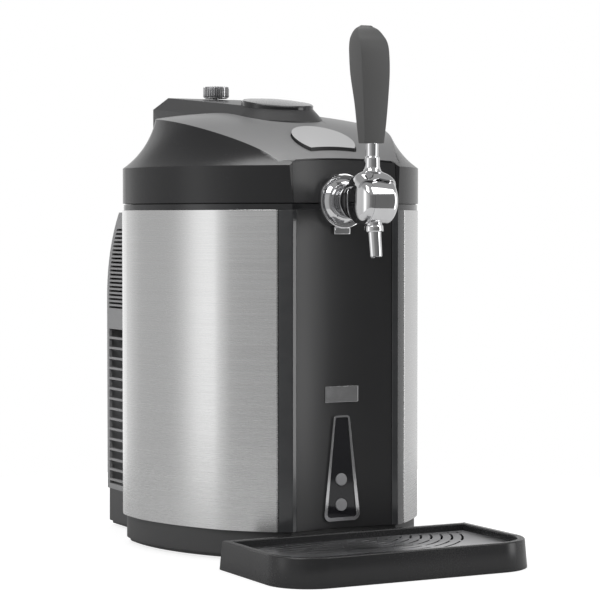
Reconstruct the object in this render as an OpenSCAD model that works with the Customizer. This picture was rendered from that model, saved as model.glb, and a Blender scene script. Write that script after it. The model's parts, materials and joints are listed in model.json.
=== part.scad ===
// Mini keg beer dispenser: a countertop cooler for one small keg, with a tap on its front,
// a hinged lid that carries the gas fittings, and a loose drip tray.
// Millimetres. X to the right, Y to the rear, Z up. The origin is on the table, mid-body.

/* [Body plan] */
// Half of the widest part of the body
half_w = 134; // [132.5:0.5:136]
// Radius of each long side curve in plan
side_r = 188; // [186:0.1:192]
// Place along the depth where the body is widest
side_y = 69.8; // [68:0.1:72]
// Rear wall of the body
rear_y = 130; // [128:0.5:132]
// Radius of the two rear corners
corner_r = 49; // [44:0.5:53]
// Middle of the hollowed front face
front_y = -77; // [-78:0.1:-76]
// Radius of the hollow of the front face
front_r = 165.8; // [150:0.1:185]

/* [Body heights] */
// Top of the base, where the steel begins
base_z = 26.4; // [24:0.1:28]
// Ground clearance under the base
foot_gap = 2; // [1.5:0.1:3]
// Top of the steel panels
panel_z = 303; // [300:0.5:306]
// Height of the black collar on top of the body
collar_h = 5; // [4:0.1:6]
// Gap between the collar and the lid
seam_gap = 1; // [0.8:0.1:1.6]

/* [Walls] */
// Plastic wall of the lid and covers
wall = 3; // [2.8:0.1:3.5]
// Steel sheet of the side panels
sheet_t = 1; // [0.8:0.1:1.2]
// Depth of the inner cabinet behind the body outline
cabinet_in = 3.6; // [3.5:0.1:4]
// Thickness of the black front panel
front_t = 2.4; // [2:0.1:2.6]
// Step from the trim strips back to the front panel
front_step = 0.8; // [0.6:0.1:0.9]
// Depth of the base behind the body outline
base_in = 3; // [2:0.5:4]

/* [Steel panels] */
// Front edge of the steel
panel_front_y = -77.6; // [-79:0.1:-76]
// Front crease of the steel
crease_front_y = -41.4; // [-46:0.1:-36]
// Rear crease of the steel
crease_rear_y = 50.2; // [45:0.1:55]
// Where the steel starts to turn round the rear corner
panel_turn_y = 80; // [76:0.5:82]
// Rear edge of the steel, round the corner
panel_rear_y = 106; // [102:0.5:112]
// How far the steel stands out of the body outline
panel_proud = 0.6; // [0.3:0.1:0.9]
// Radius of the steel between two creases
panel_r = 260; // [240:1:300]
// Rounded rear bottom corner of the steel
panel_corner_r = 12; // [8:1:16]
// Width of the trim strip on the front face
trim_face_w = 5; // [4:0.1:6]

/* [Keg chamber] */
// Inner radius of the chamber
chamber_r = 89; // [87:0.5:90]
// Place of the chamber along the depth
chamber_y = 30; // [28:0.5:31]
// Floor of the chamber
chamber_z = 33; // [32:0.5:38]
// Aluminium wall of the chamber
liner_t = 1.2; // [1:0.1:1.5]
// Width of the liner flange
liner_flange_w = 3; // [2.5:0.1:3.1]

/* [Lid] */
// Radius of the domed top from front to rear
dome_r = 330; // [325:0.5:340]
// Radius of the domed top from side to side
dome_cross_r = 600; // [560:5:700]
// Highest place of the dome along the depth
dome_y = 96; // [94:0.5:98]
// Highest level of the dome
dome_top = 394.8; // [394:0.1:396]
// Level of the flatter lip along the front of the lid
lip_z = 347.9; // [346.5:0.1:349]
// How far the glossy front piece ends below the lip
fascia_drop = 1.3; // [1:0.1:3]
// Height of the upright band of the lid
band_h = 32; // [28:0.5:34]
// Radius of the hollow flanks
scoop_r = 74; // [70:0.5:78]
// Slope of the flanks where they leave the band
scoop_slope = 34.8; // [33:0.1:37]
// Backward lean of the lid front, in mm for each mm of height
front_lean = 0.067; // [0.04:0.001:0.08]
// Edge of the lid shell beside the glossy front piece
fascia_edge = 1.4; // [1.2:0.1:3]
// Level of the inner panel of the lid
inner_panel_z = 311; // [310.5:0.1:312]
// Height of the round recess in the inner panel
recess_h = 23; // [18:0.5:24]

/* [Hump] */
// Level of the plateau over the cap
hump_z = 398; // [397:0.5:400]
// Rise of the plateau to the rear, degrees
hump_tilt = 5.6; // [5:0.1:6]
// Lower radius of the round nose
nose_r = 43; // [41:0.5:45]
// Bevel around the plateau
hump_bevel = 11; // [9:0.5:12]
// Half width of the rear of the hump
hump_half_w = 58; // [56:0.5:60]
// Rear face of the hump
hump_rear_y = 193; // [191:0.5:195]
// Underside of the hump behind the body
hump_floor_z = 313; // [312.5:0.5:314]

/* [Gas fittings] */
// Radius of the well cap
cap_r = 33; // [31:0.5:33.5]
// Place of the cap along the depth
cap_y = 45; // [43:0.5:47]
// Tilt of the cap to the front, degrees
cap_tilt = 9; // [7:0.5:10]
// Height of the cap rim
cap_rim_h = 5; // [4.5:0.1:5.5]
// Doming of the cap
cap_crown = 2.5; // [2:0.1:3]
// Radius of the well bore
well_r = 26; // [24:0.5:26.5]
// Depth of the well
well_depth = 30; // [28:1:34]
// Radius of a gas cartridge
cartridge_r = 10.9; // [9:0.1:11.5]
// Length of a gas cartridge
cartridge_len = 78; // [70:1:79]
// Radius of the regulator knob
knob_r = 12.5; // [11:0.5:14]
// Height of the regulator knob
knob_h = 10.5; // [9:0.5:13]
// Place of the knob along the depth
knob_y = 174; // [170:0.5:176]
// Number of ribs on the knob
knob_ribs = 36; // [24:1:44]

/* [Lid release] */
// Radius of the rear edge of the release button
button_r = 28; // [27:0.1:30]
// Middle of the rear edge of the button
button_back_y = -16; // [-18:0.5:-14]
// How far the button stands out of the lid
button_raise = 2.5; // [1.5:0.1:3]
// Distance of the button behind the lid front
button_front_gap = 16.5; // [15:0.5:18]
// Gap around the button
button_gap = 0.8; // [0.6:0.1:1.2]
// Travel of the button
button_travel = 3; // [2:0.5:4]
// Distance of each latch leg from the middle
latch_x = 34; // [33:0.5:36]

/* [Lid hinge] */
// Hinge axis along the depth
hinge_y = 184; // [183:0.5:185]
// Hinge axis height
hinge_z = 308; // [307:0.5:308.5]
// Radius of the hinge pin
pin_r = 2.5; // [2:0.1:3]
// Radius of the hinge eyes
eye_r = 4.8; // [4.5:0.1:5]

/* [Tap] */
// Height of the tap centre
tap_z = 310.6; // [309:0.1:312]
// Radius of the tap flange
flange_r = 23.8; // [22:0.1:25]
// Thickness of the tap flange
flange_t = 4.5; // [4:0.1:5.5]
// Centre of the tap drum along the depth
drum_y = -130.3; // [-133:0.1:-128]
// Radius of the tap drum
drum_r = 20.6; // [19.5:0.1:21.5]
// Half length of the tap drum
drum_half_w = 18.5; // [17:0.5:20]
// Radius of the tap neck
neck_r = 13.6; // [12:0.1:14]
// Radius of the threaded shank
shank_r = 8; // [7:0.5:8.5]
// Radius of the beer bore
bore_r = 4; // [3:0.25:4.5]
// Half angle that the lever hood covers
hood_angle = 36; // [32:1:40]
// Outer radius of the spout tube
spout_r = 5.8; // [5:0.1:6.5]
// Forward lean of the spout, degrees
spout_lean = 7.8; // [5:0.1:10]
// Lower end of the spout
spout_z = 263; // [260:0.5:268]
// Lower end of the handle
handle_z = 359; // [356:0.5:362]
// Top of the handle
handle_top_z = 459; // [450:1:465]
// Half width of the handle at its lower end
handle_low_w = 9.75; // [9:0.25:10.5]
// Half width of the handle near its top
handle_top_w = 13.9; // [13:0.1:15]

/* [Drip tray] */
// Half width of the tray
tray_half_w = 122; // [115:0.5:125]
// Front edge of the tray
tray_front_y = -211; // [-214:0.5:-208]
// Rear edge of the tray
tray_rear_y = -86; // [-90:0.5:-86]
// Height of the tray rim
tray_h = 24.8; // [22:0.1:27]
// Draft of the tray walls
tray_draft = 1.8; // [1:0.1:3]
// Front corner radius of the tray
tray_corner_r = 38; // [30:1:42]
// Width of the raised rim
rim_w = 8; // [6:0.5:10]
// Depth of the grille under the rim
grille_drop = 6; // [4:0.5:7]
// Thickness of the grille
grille_t = 2.5; // [2:0.1:3]
// Place of the two tongues of the tray, each side of the middle
tongue_x = 35; // [30:1:45]

/* [Control panel] */
// Lower end of the panel
control_z = 32.5; // [31:0.5:34]
// Height of the panel
control_h = 92; // [86:1:98]
// Half width at the lower end
control_low_w = 17.5; // [16:0.5:19]
// Half width at the upper end
control_top_w = 8; // [7:0.5:9]
// Corner radius at the lower end
control_corner_r = 6; // [5:0.5:7]
// Width of the bright rim
bezel_w = 2.2; // [1.8:0.1:2.6]
// Radius of the push buttons
push_r = 5.5; // [5:0.25:6]
// Travel of the push buttons
push_travel = 0.8; // [0.5:0.1:1]

/* [Rear housing] */
// Half width of the rear housing
rear_half_w = 99; // [97:0.5:101]
// Rear face of the rear housing
rear_face_y = 211; // [209:0.5:213]
// Top of the rear housing
rear_top_z = 301.5; // [300:0.5:302]
// Level where the rear face starts to curve in
rear_curve_z = 220; // [215:1:225]
// Rear edge of the flat top
rear_top_y = 181; // [179:0.5:182]
// Top of the base under the rear housing
rear_base_z = 36; // [34:0.5:38]
// Front end of the side vents
vent_front_y = 150; // [148:1:154]
// Count of the small upper vents on a side
small_vents = 20; // [14:1:20]
// Count of the large lower vents on a side
large_vents = 16; // [10:1:16]

/* [Cooling] */
// Height of the cooling module
cooler_z = 160; // [150:1:170]
// Size of the heat sink
sink_w = 90; // [80:1:92]
// Thickness of the heat sink base
sink_base_t = 6; // [5:0.5:8]
// Depth of the heat sink fins
fin_depth = 24; // [18:1:26]
// Count of the fins
fins = 15; // [9:1:19]
// Size of the square fan
fan_w = 92; // [88:1:94]
// Depth of the fan
fan_t = 25; // [20:1:25]
// Count of the fan blades
fan_blades = 7; // [5:1:9]

/* [Clearance] */
// Clearance between bodies that move past each other
gap = 0.3; // [0.25:0.05:0.4]
// Radial running fit of pins and shafts
fit = 0.05; // [0.03:0.01:0.08]

/* [Hidden] */
$fn = 96;

// Limits of the drawing, and the fineness of large curves
far = 400;
eps = 0.01;
fine = 288;

// Side circles: each lies on the other half of the body
side_cx = side_r - half_w;
// Rear corner circles touch the side circles from inside
corner_cy = rear_y - corner_r;
corner_cx = sqrt(pow(side_r - corner_r, 2) - pow(corner_cy - side_y, 2)) - side_cx;
corner_turn = atan2(corner_cy - side_y, corner_cx + side_cx);
// Centre of the hollow of the front
front_cy = front_y - front_r;

// Half width of the body at a place along the depth
function side_x(y) = sqrt(pow(side_r, 2) - pow(y - side_y, 2)) - side_cx;
// Front face of the body at a distance from the middle, moved in by i
function face_y(x, i = 0) = front_cy + sqrt(pow(front_r + i, 2) - pow(x, 2));
// Half width at the front corner, found by rounds of substitution
function front_corner(x, n) = n == 0 ? x : front_corner(side_x(face_y(x)), n - 1);
corner_rounds = 8;
front_corner_x = front_corner(half_w * 0.4, corner_rounds);

lid_z = panel_z + collar_h + seam_gap;
collar_top = panel_z + collar_h;
band_z = lid_z + band_h;
scoop_out = scoop_r * sin(scoop_slope);
scoop_z = band_z + scoop_r * cos(scoop_slope);
liner_top = panel_z - eps;

// Body outline, moved in by i
module plan(i = 0) {
  turn_rise = (far - corner_cx) * tan(corner_turn);
  difference() {
    intersection() {
      translate([-side_cx, side_y]) circle(side_r - i, $fn = fine);
      translate([side_cx, side_y]) circle(side_r - i, $fn = fine);
      union() {
        polygon([
          [-far, -far], [far, -far], [far, corner_cy + turn_rise],
          [corner_cx, corner_cy], [-corner_cx, corner_cy], [-far, corner_cy + turn_rise]
        ]);
        translate([corner_cx, corner_cy]) circle(corner_r - i);
        translate([-corner_cx, corner_cy]) circle(corner_r - i);
        translate([-corner_cx, corner_cy - 1]) square([2 * corner_cx, corner_r - i + 1]);
      }
    }
    translate([0, front_cy]) circle(front_r + i, $fn = fine);
  }
}

// Upright prism of the body outline between two levels
module plan_block(z0, z1, i = 0) {
  translate([0, 0, z0]) linear_extrude(z1 - z0) plan(i);
}

// Box given by its least and greatest corners
module box(a, b) {
  translate(a) cube(b - a);
}

// Box that is the same on both sides of the middle
module mid_box(half, y0, y1, z0, z1) {
  box([-half, y0, z0], [half, y1, z1]);
}

// Cylinder along Y between two places
module rod_y(r, y0, y1, x = 0, z = 0) {
  translate([x, y0, z]) rotate([-90, 0, 0]) cylinder(h = y1 - y0, r = r);
}

// Cylinder along X between two places
module rod_x(r, x0, x1, y = 0, z = 0) {
  translate([x0, y, z]) rotate([0, 90, 0]) cylinder(h = x1 - x0, r = r);
}

// Cylinder around the chamber axis
module chamber_rod(r, z0, z1) {
  translate([0, chamber_y, z0]) cylinder(h = z1 - z0, r = r);
}

// ---------- base ----------
// Outline of the base: the body and its extension under the rear housing
module base_plan(i = 0) {
  r = rear_corner_r;
  plan(base_in + i);
  translate([-rear_half_w + i, rear_y - corner_r])
    square([2 * (rear_half_w - i), rear_face_y - rear_y + corner_r - r]);
  translate([-rear_half_w + r, rear_y])
    square([2 * (rear_half_w - r), rear_face_y - rear_y - i]);
  for (s = [-1, 1])
    translate([s * (rear_half_w - r), rear_face_y - r]) circle(r - i);
}

base_edge = 3;
base_floor_t = 3;
tongue_w = 18;
tongue_t = 4;
tongue_z = 9;
tongue_end_y = -74;
base_wall = 5;
rear_corner_r = 6;
module base() {
  color([0.12, 0.12, 0.13]) difference() {
    union() {
      translate([0, 0, foot_gap]) linear_extrude(base_edge) base_plan(base_edge);
      translate([0, 0, foot_gap + base_edge])
        linear_extrude(base_z - foot_gap - base_edge) base_plan();
      intersection() {
        translate([0, 0, base_z - 1])
          linear_extrude(rear_base_z - base_z + 1) base_plan();
        mid_box(far, rear_y + gap, far, 0, far);
      }
    }
    // open pan
    translate([0, 0, foot_gap + base_floor_t])
      linear_extrude(far) base_plan(base_wall);
    // seats of the feet
    foot_places() translate([0, 0, foot_gap - eps]) cylinder(h = foot_seat + eps, r = foot_r);
    tray_tongues(gap);
  }
}

// Tongues of the drip tray that reach into slots in the front of the base, grown by g
module tray_tongues(g = 0) {
  for (s = [-1, 1])
    box([s * tongue_x - tongue_w / 2 - g, tray_rear_y - 1, tongue_z - g],
        [s * tongue_x + tongue_w / 2 + g, tongue_end_y + g, tongue_z + tongue_t + g]);
}

foot_r = 11;
foot_seat = 1;
module foot_places() {
  for (s = [-1, 1]) {
    translate([s * 45, -50, 0]) children();
    translate([s * 75, 180, 0]) children();
  }
}

module feet() {
  color([0.07, 0.07, 0.07]) foot_places() cylinder(h = foot_gap + foot_seat, r = foot_r - fit);
}

// ---------- cabinet ----------
module cabinet_shell() {
  inner = cabinet_in + wall;
  color([0.16, 0.16, 0.17]) difference() {
    union() {
      difference() {
        plan_block(base_z, panel_z, cabinet_in);
        plan_block(base_z + wall, far, inner);
      }
      // ribs that carry the chamber floor
      for (x = [-40, 40]) mid_rib(x);
    }
    // window for the cooling module
    mid_box(sink_w / 2 - 12, rear_y - 20, rear_y + 1, cooler_z - 33, cooler_z + 33);
    // pocket of the control board
    mid_box(14, front_y - 20, front_y + 12, control_z + 6, control_z + 60);
    tap_saddle(shank_r + gap);
  }
}

rib_t = 3;
module mid_rib(x) {
  box([x - rib_t / 2, -50, base_z + wall - eps], [x + rib_t / 2, 100, chamber_z - liner_t]);
}

// Upright slot from the tap centre to above the body
module tap_saddle(r) {
  rod_y(r, -far / 4, -62, z = tap_z);
  mid_box(r, -far / 4, -62, tap_z, far);
}

// Centre of the circle of radius r through points a and b, to the left of a to b
function arc_centre(a, b, r) =
  let (d = b - a, h = norm(d) / 2, n = [-d[1], d[0]] / norm(d))
  (a + b) / 2 + n * sqrt(r * r - h * h);

panel_marks = [
  for (y = [panel_front_y, crease_front_y, crease_rear_y, panel_turn_y]) [side_x(y) + panel_proud, y]
];
// Right side panel outline: three flat arcs that meet in creases, then the rear corner
module panel_plan(i = 0) {
  intersection() {
    panel_arc(0, i);
    panel_arc(1, i);
    panel_arc(2, i);
    translate([0, -far]) square([far, far + panel_turn_y]);
  }
  intersection() {
    plan(i - panel_proud);
    translate([0, panel_turn_y - eps]) square([far, far]);
  }
}

module panel_arc(k, i) {
  translate(arc_centre(panel_marks[k], panel_marks[k + 1], panel_r)) circle(panel_r - i, $fn = fine);
}

module steel_panel() {
  intersection() {
    translate([0, 0, base_z]) linear_extrude(panel_z - base_z) difference() {
      panel_plan();
      panel_plan(sheet_t);
    }
    union() {
      box([1, panel_front_y, base_z + panel_corner_r], [far, panel_rear_y, panel_z]);
      box([1, panel_front_y, base_z], [far, panel_rear_y - panel_corner_r, panel_z]);
      rod_x(panel_corner_r, 1, far, panel_rear_y - panel_corner_r, base_z + panel_corner_r);
    }
  }
}

module steel_panel_right() {
  color([0.75, 0.76, 0.77]) steel_panel();
}

module steel_panel_left() {
  color([0.75, 0.76, 0.77]) mirror([1, 0, 0]) steel_panel();
}

// Strip that wraps the right front corner
module front_trim() {
  intersection() {
    translate([0, 0, base_z]) linear_extrude(panel_z - base_z) difference() {
      plan();
      plan(cabinet_in);
    }
    box([front_corner_x - trim_face_w, -far, 0], [far, panel_front_y - gap, far]);
  }
}

module front_trim_right() {
  color([0.2, 0.2, 0.2]) front_trim();
}

module front_trim_left() {
  color([0.2, 0.2, 0.2]) mirror([1, 0, 0]) front_trim();
}

module front_panel() {
  half = front_corner_x - trim_face_w - gap;
  color([0.13, 0.13, 0.14]) difference() {
    intersection() {
      translate([0, 0, base_z]) linear_extrude(panel_z - base_z) difference() {
        plan(front_step);
        plan(front_step + front_t);
      }
      mid_box(half, -far, 0, 0, far);
    }
    tap_saddle(shank_r + gap);
    // window of the control panel
    translate([0, -50, 0]) rotate([90, 0, 0]) linear_extrude(50) control_plan(bezel_w);
    // seat of the badge
    badge_block(badge_half_w + gap, badge_h + 2 * gap, badge_seat);
  }
}

module top_collar() {
  color([0.1, 0.1, 0.1]) difference() {
    plan_block(panel_z, collar_top, front_step);
    chamber_rod(chamber_r, 0, far);
    tap_saddle(shank_r + gap);
    mid_box(tap_bracket_half_w + gap, bracket_front_y - gap, bracket_front_y + bracket_t + gap, 0, far);
    mid_box(nut_room_half_w, bracket_front_y, nut_room_y, 0, far);
    latch_slots();
    hinge_bracket_room();
  }
}

nut_room_half_w = 15;
nut_room_y = -58;
bracket_t = 2;
bracket_front_y = front_y + cabinet_in + wall + 0.05;
bracket_z = 268;
tap_bracket_half_w = 20;
latch_w = 9;
latch_t = 3;
latch_y = -66;
module latch_slots() {
  for (s = [-1, 1])
    box([s * latch_x - latch_w / 2 - 0.6, latch_y - 1.2, 0],
        [s * latch_x + latch_w / 2 + 0.6, latch_y + latch_t + 4.5, far]);
}

strike_t = 1.2;
module strike_plate() {
  color([0.7, 0.7, 0.7]) difference() {
    for (s = [-1, 1])
      box([s * latch_x - latch_w / 2 - 4, latch_y - 3.4, panel_z - strike_t],
          [s * latch_x + latch_w / 2 + 4, latch_y + latch_t + 7.5, panel_z]);
    latch_slots();
    chamber_rod(chamber_r + liner_t + liner_flange_w + gap, 0, far);
  }
}

// ---------- keg chamber ----------
module chamber_liner() {
  color([0.72, 0.73, 0.75]) difference() {
    union() {
      chamber_rod(chamber_r + liner_t, chamber_z - liner_t, liner_top);
      chamber_rod(chamber_r + liner_t + liner_flange_w, liner_top - liner_t, liner_top);
    }
    chamber_rod(chamber_r, chamber_z, far);
  }
}

module foam_insulation() {
  inner = cabinet_in + wall + 0.1;
  color([0.9, 0.88, 0.8]) difference() {
    plan_block(chamber_z + 1, panel_z - strike_t - 0.1, inner);
    chamber_rod(chamber_r + liner_t + 0.1, 0, far);
    chamber_rod(chamber_r + liner_t + liner_flange_w + 0.1, liner_top - liner_t - 0.1, far);
    mid_box(sink_w / 2 - 12, 60, far, cooler_z - 33, cooler_z + 33);
    mid_box(20, -far, -60, 0, control_z + 66);
    mid_box(tap_bracket_half_w + 1, -far, -60, bracket_z - 1, far);
    latch_slots();
  }
}

// ---------- badge ----------
badge_half_w = 16.4;
badge_h = 14;
badge_z = 143;
badge_t = 1;
badge_seat = 0.5;
// Curved plate that follows the front panel, depth d into it
module badge_block(half, h, d) {
  intersection() {
    plan_block(badge_z - h / 2, badge_z + h / 2, front_step - badge_t + badge_seat);
    difference() {
      mid_box(half, -far, 0, 0, far);
      plan_block(0, far, front_step + d);
    }
  }
}

module badge_plate() {
  color([0.8, 0.8, 0.82]) badge_block(badge_half_w, badge_h, badge_seat);
}

// ---------- control panel ----------
// Tongue outline on the front face, moved in by i
module control_plan(i = 0) {
  r = control_corner_r;
  hull() {
    for (s = [-1, 1]) {
      translate([s * (control_low_w - r), control_z + r]) circle(r - i, $fn = 32);
      translate([s * (control_top_w - r / 2), control_z + control_h - r / 2])
        circle(r / 2 - i / 2, $fn = 32);
    }
  }
}

// Slab of the control outline between two depths behind the body outline
module control_slab(i, d0, d1) {
  intersection() {
    translate([0, -50, 0]) rotate([90, 0, 0]) linear_extrude(50) control_plan(i);
    difference() {
      plan_block(0, panel_z, d0);
      plan_block(-1, far, d1);
    }
  }
}

module control_bezel() {
  color([0.85, 0.85, 0.86]) difference() {
    union() {
      control_slab(0, -0.8, front_step);
      control_slab(bezel_w + 0.1, front_step - 0.1, front_step + front_t);
    }
    translate([0, -50, 0]) rotate([90, 0, 0]) linear_extrude(60) control_plan(bezel_w + 1);
  }
}

push_z = [control_z + 14, control_z + 36];
module control_window() {
  color([0.03, 0.03, 0.04]) difference() {
    control_slab(bezel_w + 1.1, front_step - 0.6, front_step + front_t);
    for (z = push_z) rod_y(push_r + gap, -far / 4, -60, z = z);
  }
}

board_y = front_y + 11;
module control_board() {
  color([0.05, 0.3, 0.15]) {
    mid_box(13, board_y, board_y + 1.6, control_z + 7, control_z + 58);
    // switch bodies under the buttons
    for (z = push_z) rod_y(3.5, board_y - 2.6, board_y, z = z);
    // display module
    mid_box(6, board_y - 5.7, board_y, control_z + 46, control_z + 57);
  }
}

module push_button(z) {
  rod_y(push_r, face_y(0, -0.9), face_y(0, 2.5), z = z);
  rod_y(2.5, face_y(0, 2.4), board_y - 2.6 - push_travel - 0.1, z = z);
}

module power_button() {
  color([0.6, 0.6, 0.62]) push_button(push_z[0]);
}

module temperature_button() {
  color([0.6, 0.6, 0.62]) push_button(push_z[1]);
}

// ---------- rear housing ----------
// Radius of the curve that joins the rear face to the top edge
rear_rise = rear_top_z - rear_curve_z;
rear_fall = rear_face_y - rear_top_y;
rear_r = (pow(rear_fall, 2) + pow(rear_rise, 2)) / (2 * rear_fall);

// Side view of the housing in Y and Z, moved in by i
module rear_profile(i = 0) {
  intersection() {
    translate([rear_y - 50, rear_base_z + i])
      square([rear_face_y - rear_y + 50 - i, rear_top_z - rear_base_z - 2 * i]);
    union() {
      translate([rear_face_y - rear_r, rear_curve_z]) circle(rear_r - i, $fn = 180);
      translate([0, 0]) square([rear_face_y - i, rear_curve_z]);
      translate([0, 0]) square([rear_face_y - rear_r, far]);
    }
  }
}

module rear_block(i = 0) {
  w = rear_half_w - i;
  translate([-w, 0, 0]) rotate([90, 0, 90]) linear_extrude(2 * w) rear_profile(i);
}

small_pitch = 3.9;
small_slot = 2;
large_pitch = 9.75;
large_slot = 7.6;
vent_edge = 5;
small_vent_z = 286;
large_vent_z = 190;
grille_half_w = 52;
// Side view of all vent slots
module vent_rows() {
  intersection() {
    union() {
      for (k = [0 : small_vents - 1])
        translate([vent_front_y, small_vent_z - k * small_pitch - small_slot])
          square([far, small_slot]);
      for (k = [0 : large_vents - 1])
        translate([vent_front_y, large_vent_z - k * large_pitch - large_slot])
          square([far, large_slot]);
    }
    rear_profile(vent_edge);
  }
}

inlet_x = 62;
inlet_z = 62;
inlet_half_w = 14;
inlet_half_h = 10;
module rear_housing() {
  color([0.35, 0.35, 0.36]) difference() {
    rear_block();
    rear_block(wall);
    // open front around the body
    plan_block(0, far, 0);
    mid_box(rear_half_w - wall, 0, rear_y + 8, rear_base_z + wall, rear_top_z - wall);
    mid_box(far, 0, corner_cy + corner_r * 0.9, 0, far);
    rotate([90, 0, 90]) translate([0, 0, -far]) linear_extrude(2 * far) vent_rows();
    // opening of the rear grille
    mid_box(grille_half_w, rear_face_y - 8, far, cooler_z - grille_half_w, cooler_z + grille_half_w);
    // seat of the mains inlet
    box([inlet_x - inlet_half_w, rear_face_y - 8, inlet_z - inlet_half_h],
        [inlet_x + inlet_half_w, far, inlet_z + inlet_half_h]);
    hinge_bracket_room();
    screw_places() rod_y(screw_r, rear_face_y - 12, far);
  }
}

grille_bars = 12;
grille_edge = 4;
grille_slot_h = 5.2;
module rear_grille() {
  g = grille_half_w - gap;
  pitch = 2 * g / grille_bars;
  color([0.3, 0.3, 0.31]) difference() {
    union() {
      mid_box(g, rear_face_y - wall, rear_face_y, cooler_z - g, cooler_z + g);
      mid_box(grille_half_w + 3, rear_face_y - wall - 2, rear_face_y - wall,
              cooler_z - grille_half_w - 3, cooler_z + grille_half_w + 3);
    }
    for (k = [0 : grille_bars - 1]) {
      slot_z = cooler_z - g + (k + 0.5) * pitch;
      mid_box(g - grille_edge, 0, far, slot_z - grille_slot_h / 2, slot_z + grille_slot_h / 2);
    }
  }
}

screw_r = 1.6;
screw_head_r = 3;
screw_in = 17;
screw_low_z = 50;
screw_high_z = 212;
module screw_places() {
  for (s = [-1, 1], z = [screw_low_z, screw_high_z])
    translate([s * (rear_half_w - screw_in), 0, z]) children();
}

module housing_screws() {
  color([0.6, 0.6, 0.6]) screw_places() {
    rod_y(screw_r - fit, rear_face_y - 11, rear_face_y);
    rod_y(screw_head_r, rear_face_y, rear_face_y + eps);
  }
}

module mains_inlet() {
  w = inlet_half_w;
  h = inlet_half_h;
  depth = 20;
  color([0.08, 0.08, 0.08]) difference() {
    union() {
      box([inlet_x - w + gap, rear_face_y - depth, inlet_z - h + gap],
          [inlet_x + w - gap, rear_face_y, inlet_z + h - gap]);
      box([inlet_x - w - 3, rear_face_y - wall - 2, inlet_z - h - 3],
          [inlet_x + w + 3, rear_face_y - wall, inlet_z + h + 3]);
    }
    box([inlet_x - w + 2.5, rear_face_y - depth + 3, inlet_z - h + 2.5],
        [inlet_x + w - 2.5, far, inlet_z + h - 2.5]);
  }
}

board_x = -76;
module board_bracket() {
  color([0.7, 0.7, 0.72]) {
    box([board_x - 3, 148, rear_base_z + wall], [board_x - 1.6, 196, 150]);
    box([board_x - 14, 148, rear_base_z + wall], [board_x - 1.6, 196, rear_base_z + wall + 1.4]);
  }
}

module power_board() {
  color([0.05, 0.3, 0.15]) {
    box([board_x - 1.6, 150, 55], [board_x, 194, 146]);
    // transformer, capacitors and relay
    box([board_x, 156, 84], [board_x + 22, 184, 110]);
    for (z = [62, 74]) rod_x(5, board_x, board_x + 20, 186, z);
    box([board_x, 156, 122], [board_x + 15, 176, 136]);
  }
}

// ---------- cooling ----------
cold_y = 126;
module cold_block() {
  color([0.8, 0.8, 0.82]) difference() {
    mid_box(20, 105, cold_y, cooler_z - 20, cooler_z + 20);
    chamber_rod(chamber_r + liner_t, 0, far);
  }
}

peltier_t = 4;
module peltier_module() {
  color([0.9, 0.9, 0.88]) mid_box(20, cold_y, cold_y + peltier_t, cooler_z - 20, cooler_z + 20);
}

sink_y = cold_y + peltier_t;
fin_t = 1.6;
module heat_sink() {
  s = sink_w / 2;
  pitch = (sink_w - fin_t) / (fins - 1);
  color([0.68, 0.69, 0.7]) {
    mid_box(s, sink_y, sink_y + sink_base_t, cooler_z - s, cooler_z + s);
    for (k = [0 : fins - 1])
      box([-s + k * pitch, sink_y + sink_base_t, cooler_z - s],
          [-s + k * pitch + fin_t, sink_y + sink_base_t + fin_depth, cooler_z + s]);
  }
}

fan_y = sink_y + sink_base_t + fin_depth;
hub_r = 19;
module fan_frame() {
  f = fan_w / 2;
  color([0.08, 0.08, 0.09]) {
    difference() {
      mid_box(f, fan_y, fan_y + fan_t, cooler_z - f, cooler_z + f);
      rod_y(f - 2, -1, far, z = cooler_z);
      for (s = [-1, 1], t = [-1, 1])
        rod_y(2.2, -1, far, x = s * (f - 5), z = cooler_z + t * (f - 5));
    }
    // four struts that carry the motor
    difference() {
      union() {
        box([-f + 1, fan_y + fan_t - 4, cooler_z - 2], [f - 1, fan_y + fan_t, cooler_z + 2]);
        box([-2, fan_y + fan_t - 4, cooler_z - f + 1], [2, fan_y + fan_t, cooler_z + f - 1]);
        rod_y(hub_r - 2, fan_y + fan_t - 4, fan_y + fan_t, z = cooler_z);
        rod_y(hub_r - 5, fan_y + fan_t - 14, fan_y + fan_t, z = cooler_z);
      }
      rod_y(2 + fit, -1, far, z = cooler_z);
    }
  }
}

module fan_rotor() {
  blade_y = fan_y + 3;
  blade_w = fan_t - 9;
  color([0.1, 0.1, 0.11]) {
    difference() {
      rod_y(hub_r, blade_y - 1, fan_y + fan_t - 5, z = cooler_z);
      rod_y(hub_r - 3.5, blade_y + 3, far, z = cooler_z);
    }
    rod_y(2, blade_y + 2, fan_y + fan_t - 1, z = cooler_z);
    for (k = [0 : fan_blades - 1])
      translate([0, blade_y + blade_w / 2, cooler_z]) rotate([0, k * 360 / fan_blades, 0])
        rotate([0, 0, 32])
          box([-1, -blade_w / 2, hub_r - 1.5], [1, blade_w / 2, fan_w / 2 - 5]);
  }
}

// ---------- lid hinge ----------
leaf_t = 2.2;
bracket_in = 30;
bracket_out = 46;
bracket_top = hinge_z - eye_r + leaf_t;
// Fixed brackets on the rear wall of the body, one on each side
module hinge_brackets() {
  color([0.6, 0.6, 0.62]) difference() {
    for (s = [-1, 1]) {
      x0 = s > 0 ? bracket_in : -bracket_out;
      x1 = s > 0 ? bracket_out : -bracket_in;
      box([x0, rear_y, bracket_top - 34], [x1, rear_y + leaf_t, bracket_top]);
      box([x0, rear_y, bracket_top - leaf_t], [x1, hinge_y, bracket_top]);
      rod_x(eye_r, x0, x1, hinge_y, hinge_z);
    }
    rod_x(pin_r, -far, far, hinge_y, hinge_z);
  }
}

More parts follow.
